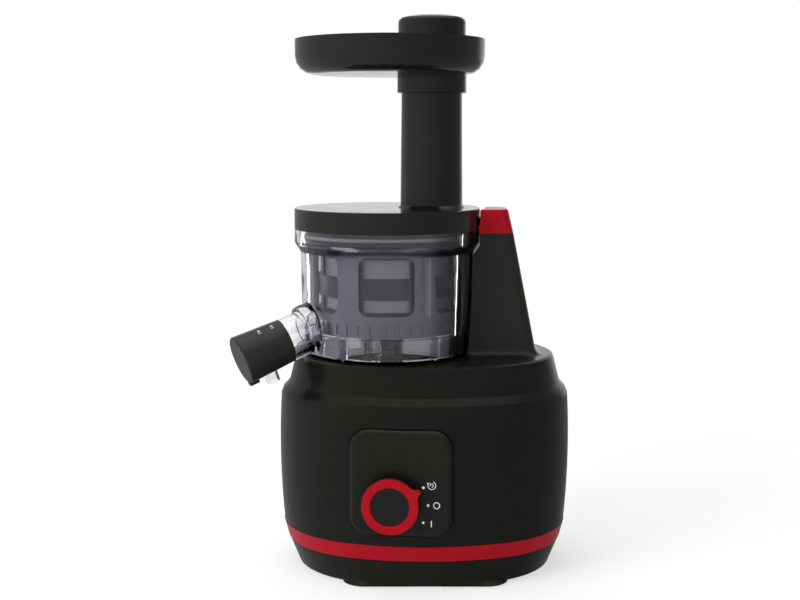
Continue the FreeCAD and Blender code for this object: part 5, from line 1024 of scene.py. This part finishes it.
class SetStudio(bpy.types.Operator):
    """Pale floor, soft lamps, pale surround and the camera of the reference view"""

    bl_idname = "juicer.set_studio"
    bl_label = "Set the studio"

    def surround(self, scene, studio):
        """White where it is seen. Where it is mirrored it goes from the left level to the
        right one, and is white behind, short of the far left, and bright above."""
        world = bpy.data.worlds.new("studio_surround")
        scene.world = world
        world.use_nodes = True
        tree = world.node_tree
        tree.nodes.clear()
        path = tree.nodes.new("ShaderNodeLightPath").outputs
        axes = split_axes(tree, tree.nodes.new("ShaderNodeTexCoord").outputs["Generated"])
        side = stretch(tree, axes["X"], *SIDE_BAND, studio.mirror_left, studio.mirror_right)
        behind = maths(tree, "MULTIPLY", stretch(tree, axes["Y"], *BACK_BAND),
                       stretch(tree, axes["X"], *BACK_EDGE))
        back = maths(tree, "MULTIPLY", behind, stretch(tree, axes["Z"], *LEVEL_BAND))
        above = stretch(tree, axes["Z"], *TOP_BAND, 0.0, studio.mirror_top)
        mirrored = maths(tree, "MAXIMUM", side, maths(tree, "MAXIMUM", back, above))
        spread = maths(tree, "MULTIPLY", path["Is Glossy Ray"],
                       maths(tree, "SUBTRACT", mirrored, studio.surround))
        strength = maths(tree, "ADD", spread, studio.surround)
        seen = maths(tree, "MAXIMUM", path["Is Camera Ray"], path["Is Transmission Ray"])
        light = tree.nodes.new("ShaderNodeBackground")
        light.inputs["Color"].default_value = (*WHITE, 1.0)
        tree.links.new(maths(tree, "MAXIMUM", strength, seen), light.inputs["Strength"])
        output = tree.nodes.new("ShaderNodeOutputWorld")
        tree.links.new(light.outputs["Background"], output.inputs["Surface"])

    def floor_finish(self, studio):
        """Pale where it lights or keeps a shadow, white where it is seen further off, and
        left out where it is mirrored."""
        material, tree, shader, vector = new_material("floor_pale")
        shader.inputs["Base Color"].default_value = (*studio.floor, 1.0)
        shader.inputs["Roughness"].default_value = 0.9
        shader.inputs["Specular IOR Level"].default_value = 0.1
        path = tree.nodes.new("ShaderNodeLightPath").outputs
        glow = tree.nodes.new("ShaderNodeEmission")
        glow.inputs["Color"].default_value = (*WHITE, 1.0)
        glow.inputs["Strength"].default_value = 1.0
        away = tree.nodes.new("ShaderNodeVectorMath")
        away.operation = "LENGTH"
        tree.links.new(vector, away.inputs[0])
        seen = maths(tree, "MAXIMUM", path["Is Camera Ray"], path["Is Transmission Ray"])
        share = maths(tree, "MULTIPLY", seen, stretch(
            tree, away.outputs["Value"], studio.pool, studio.pool * POOL_SPREAD, POOL_GLOW))
        mix = tree.nodes.new("ShaderNodeMixShader")
        tree.links.new(share, mix.inputs["Fac"])
        tree.links.new(shader.outputs["BSDF"], mix.inputs[1])
        tree.links.new(glow.outputs["Emission"], mix.inputs[2])
        passing = tree.nodes.new("ShaderNodeBsdfTransparent")
        skip = tree.nodes.new("ShaderNodeMixShader")
        tree.links.new(path["Is Glossy Ray"], skip.inputs["Fac"])
        tree.links.new(mix.outputs["Shader"], skip.inputs[1])
        tree.links.new(passing.outputs["BSDF"], skip.inputs[2])
        output = node_of(material, "OUTPUT_MATERIAL")
        tree.links.new(skip.outputs["Shader"], output.inputs["Surface"])
        return material

    def lay_floor(self, scene, studio):
        """A flat square grid under the feet, level with the origin."""
        flat = np.linspace(-FLOOR_REACH, FLOOR_REACH, FLOOR_POINTS)
        x, y = np.meshgrid(flat, flat, indexing="ij")
        points = np.stack((x, y, np.zeros_like(x)), axis=-1).reshape(-1, 3)
        faces = grid_faces(FLOOR_POINTS, FLOOR_POINTS)[:, ::-1]
        mesh = bpy.data.meshes.new("studio_floor")
        mesh.from_pydata(points.tolist(), [], faces.tolist())
        mesh.materials.append(self.floor_finish(studio))
        floor = bpy.data.objects.new("studio_floor", mesh)
        scene.collection.objects.link(floor)

    def bowl_strips(self, drive):
        """Low upright strips whose mirror images fall on the bowl wall alone."""
        bowl_only = bpy.data.collections.new("strip_receivers")
        bowl_only.objects.link(NODES["juice_bowl"])
        aim = np.array((drive[0], drive[1], STRIP_LEVEL))
        for name, bearing, width, power in STRIPS:
            turn = math.radians(bearing)
            away = np.array((math.sin(turn), -math.cos(turn), 0.0))
            strip = area_lamp(name, aim + STRIP_REACH * away, aim, width, STRIP_RISE, power,
                              mirrored=True)
            strip.light_linking.receiver_collection = bowl_only

    def set_camera(self, scene, studio, drive):
        """A level lens in front of the drive axis, tilted down."""
        lens = bpy.data.cameras.new("studio_camera")
        lens.sensor_fit = "HORIZONTAL"
        lens.sensor_width = SENSOR_WIDTH
        lens.lens = studio.focal
        camera = bpy.data.objects.new("studio_camera", lens)
        scene.collection.objects.link(camera)
        camera.location = (drive[0] + studio.aside, drive[1] - studio.distance, studio.eye)
        camera.rotation_euler = (math.pi / 2 - studio.tilt, 0.0, 0.0)
        scene.camera = camera

    def execute(self, context):
        scene = context.scene
        studio = scene.juicer_studio
        drive = JOINTS["drive_spin"]["pos_m"]
        scene.view_settings.view_transform = "Standard"
        self.lay_floor(scene, studio)
        self.surround(scene, studio)
        for name, place, width, height, power in LAMPS:
            area_lamp(name, place, (drive[0], drive[1], LAMP_AIM), width, height, power)
        self.bowl_strips(drive)
        self.set_camera(scene, studio, drive)
        return {"FINISHED"}


STEPS = (
    SmoothParts,
    BuildEffects,
    DressBase,
    MouldToes,
    DressKnob,
    DressBowl,
    DressWorks,
    DressLid,
    DressDrive,
    PrintMarks,
    SetStudio,
)

GROUPS = {
    "juicer_finishes": JuicerFinishes,
    "juicer_print": JuicerPrint,
    "juicer_toes": JuicerToes,
    "juicer_studio": JuicerStudio,
}


class JuicerPanel(bpy.types.Panel):
    """Lists the sizes, the colours and the steps"""

    bl_idname = "VIEW3D_PT_juicer"
    bl_label = "Slow juicer"
    bl_space_type = "VIEW_3D"
    bl_region_type = "UI"
    bl_category = "Juicer"

    def draw(self, context):
        for key in GROUPS:
            group = getattr(context.scene, key)
            box = self.layout.box()
            for name in group.bl_rna.properties.keys():
                if name not in {"rna_type", "name"}:
                    box.prop(group, name)
        for step in STEPS:
            self.layout.operator(step.bl_idname)


def register():
    """Registers the classes and gives each scene its groups of properties."""
    for group in GROUPS.values():
        bpy.utils.register_class(group)
    for step in STEPS:
        bpy.utils.register_class(step)
    bpy.utils.register_class(JuicerPanel)
    for name, group in GROUPS.items():
        setattr(bpy.types.Scene, name, bpy.props.PointerProperty(type=group))


def unregister():
    """Takes the properties and the classes away again, in the opposite order."""
    for name in GROUPS:
        delattr(bpy.types.Scene, name)
    bpy.utils.unregister_class(JuicerPanel)
    for step in reversed(STEPS):
        bpy.utils.unregister_class(step)
    for group in reversed(list(GROUPS.values())):
        bpy.utils.unregister_class(group)


def main():
    """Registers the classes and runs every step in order."""
    register()
    for step in STEPS:
        family, action = step.bl_idname.split(".")
        getattr(getattr(bpy.ops, family), action)()


if __name__ == "__main__":
    main()
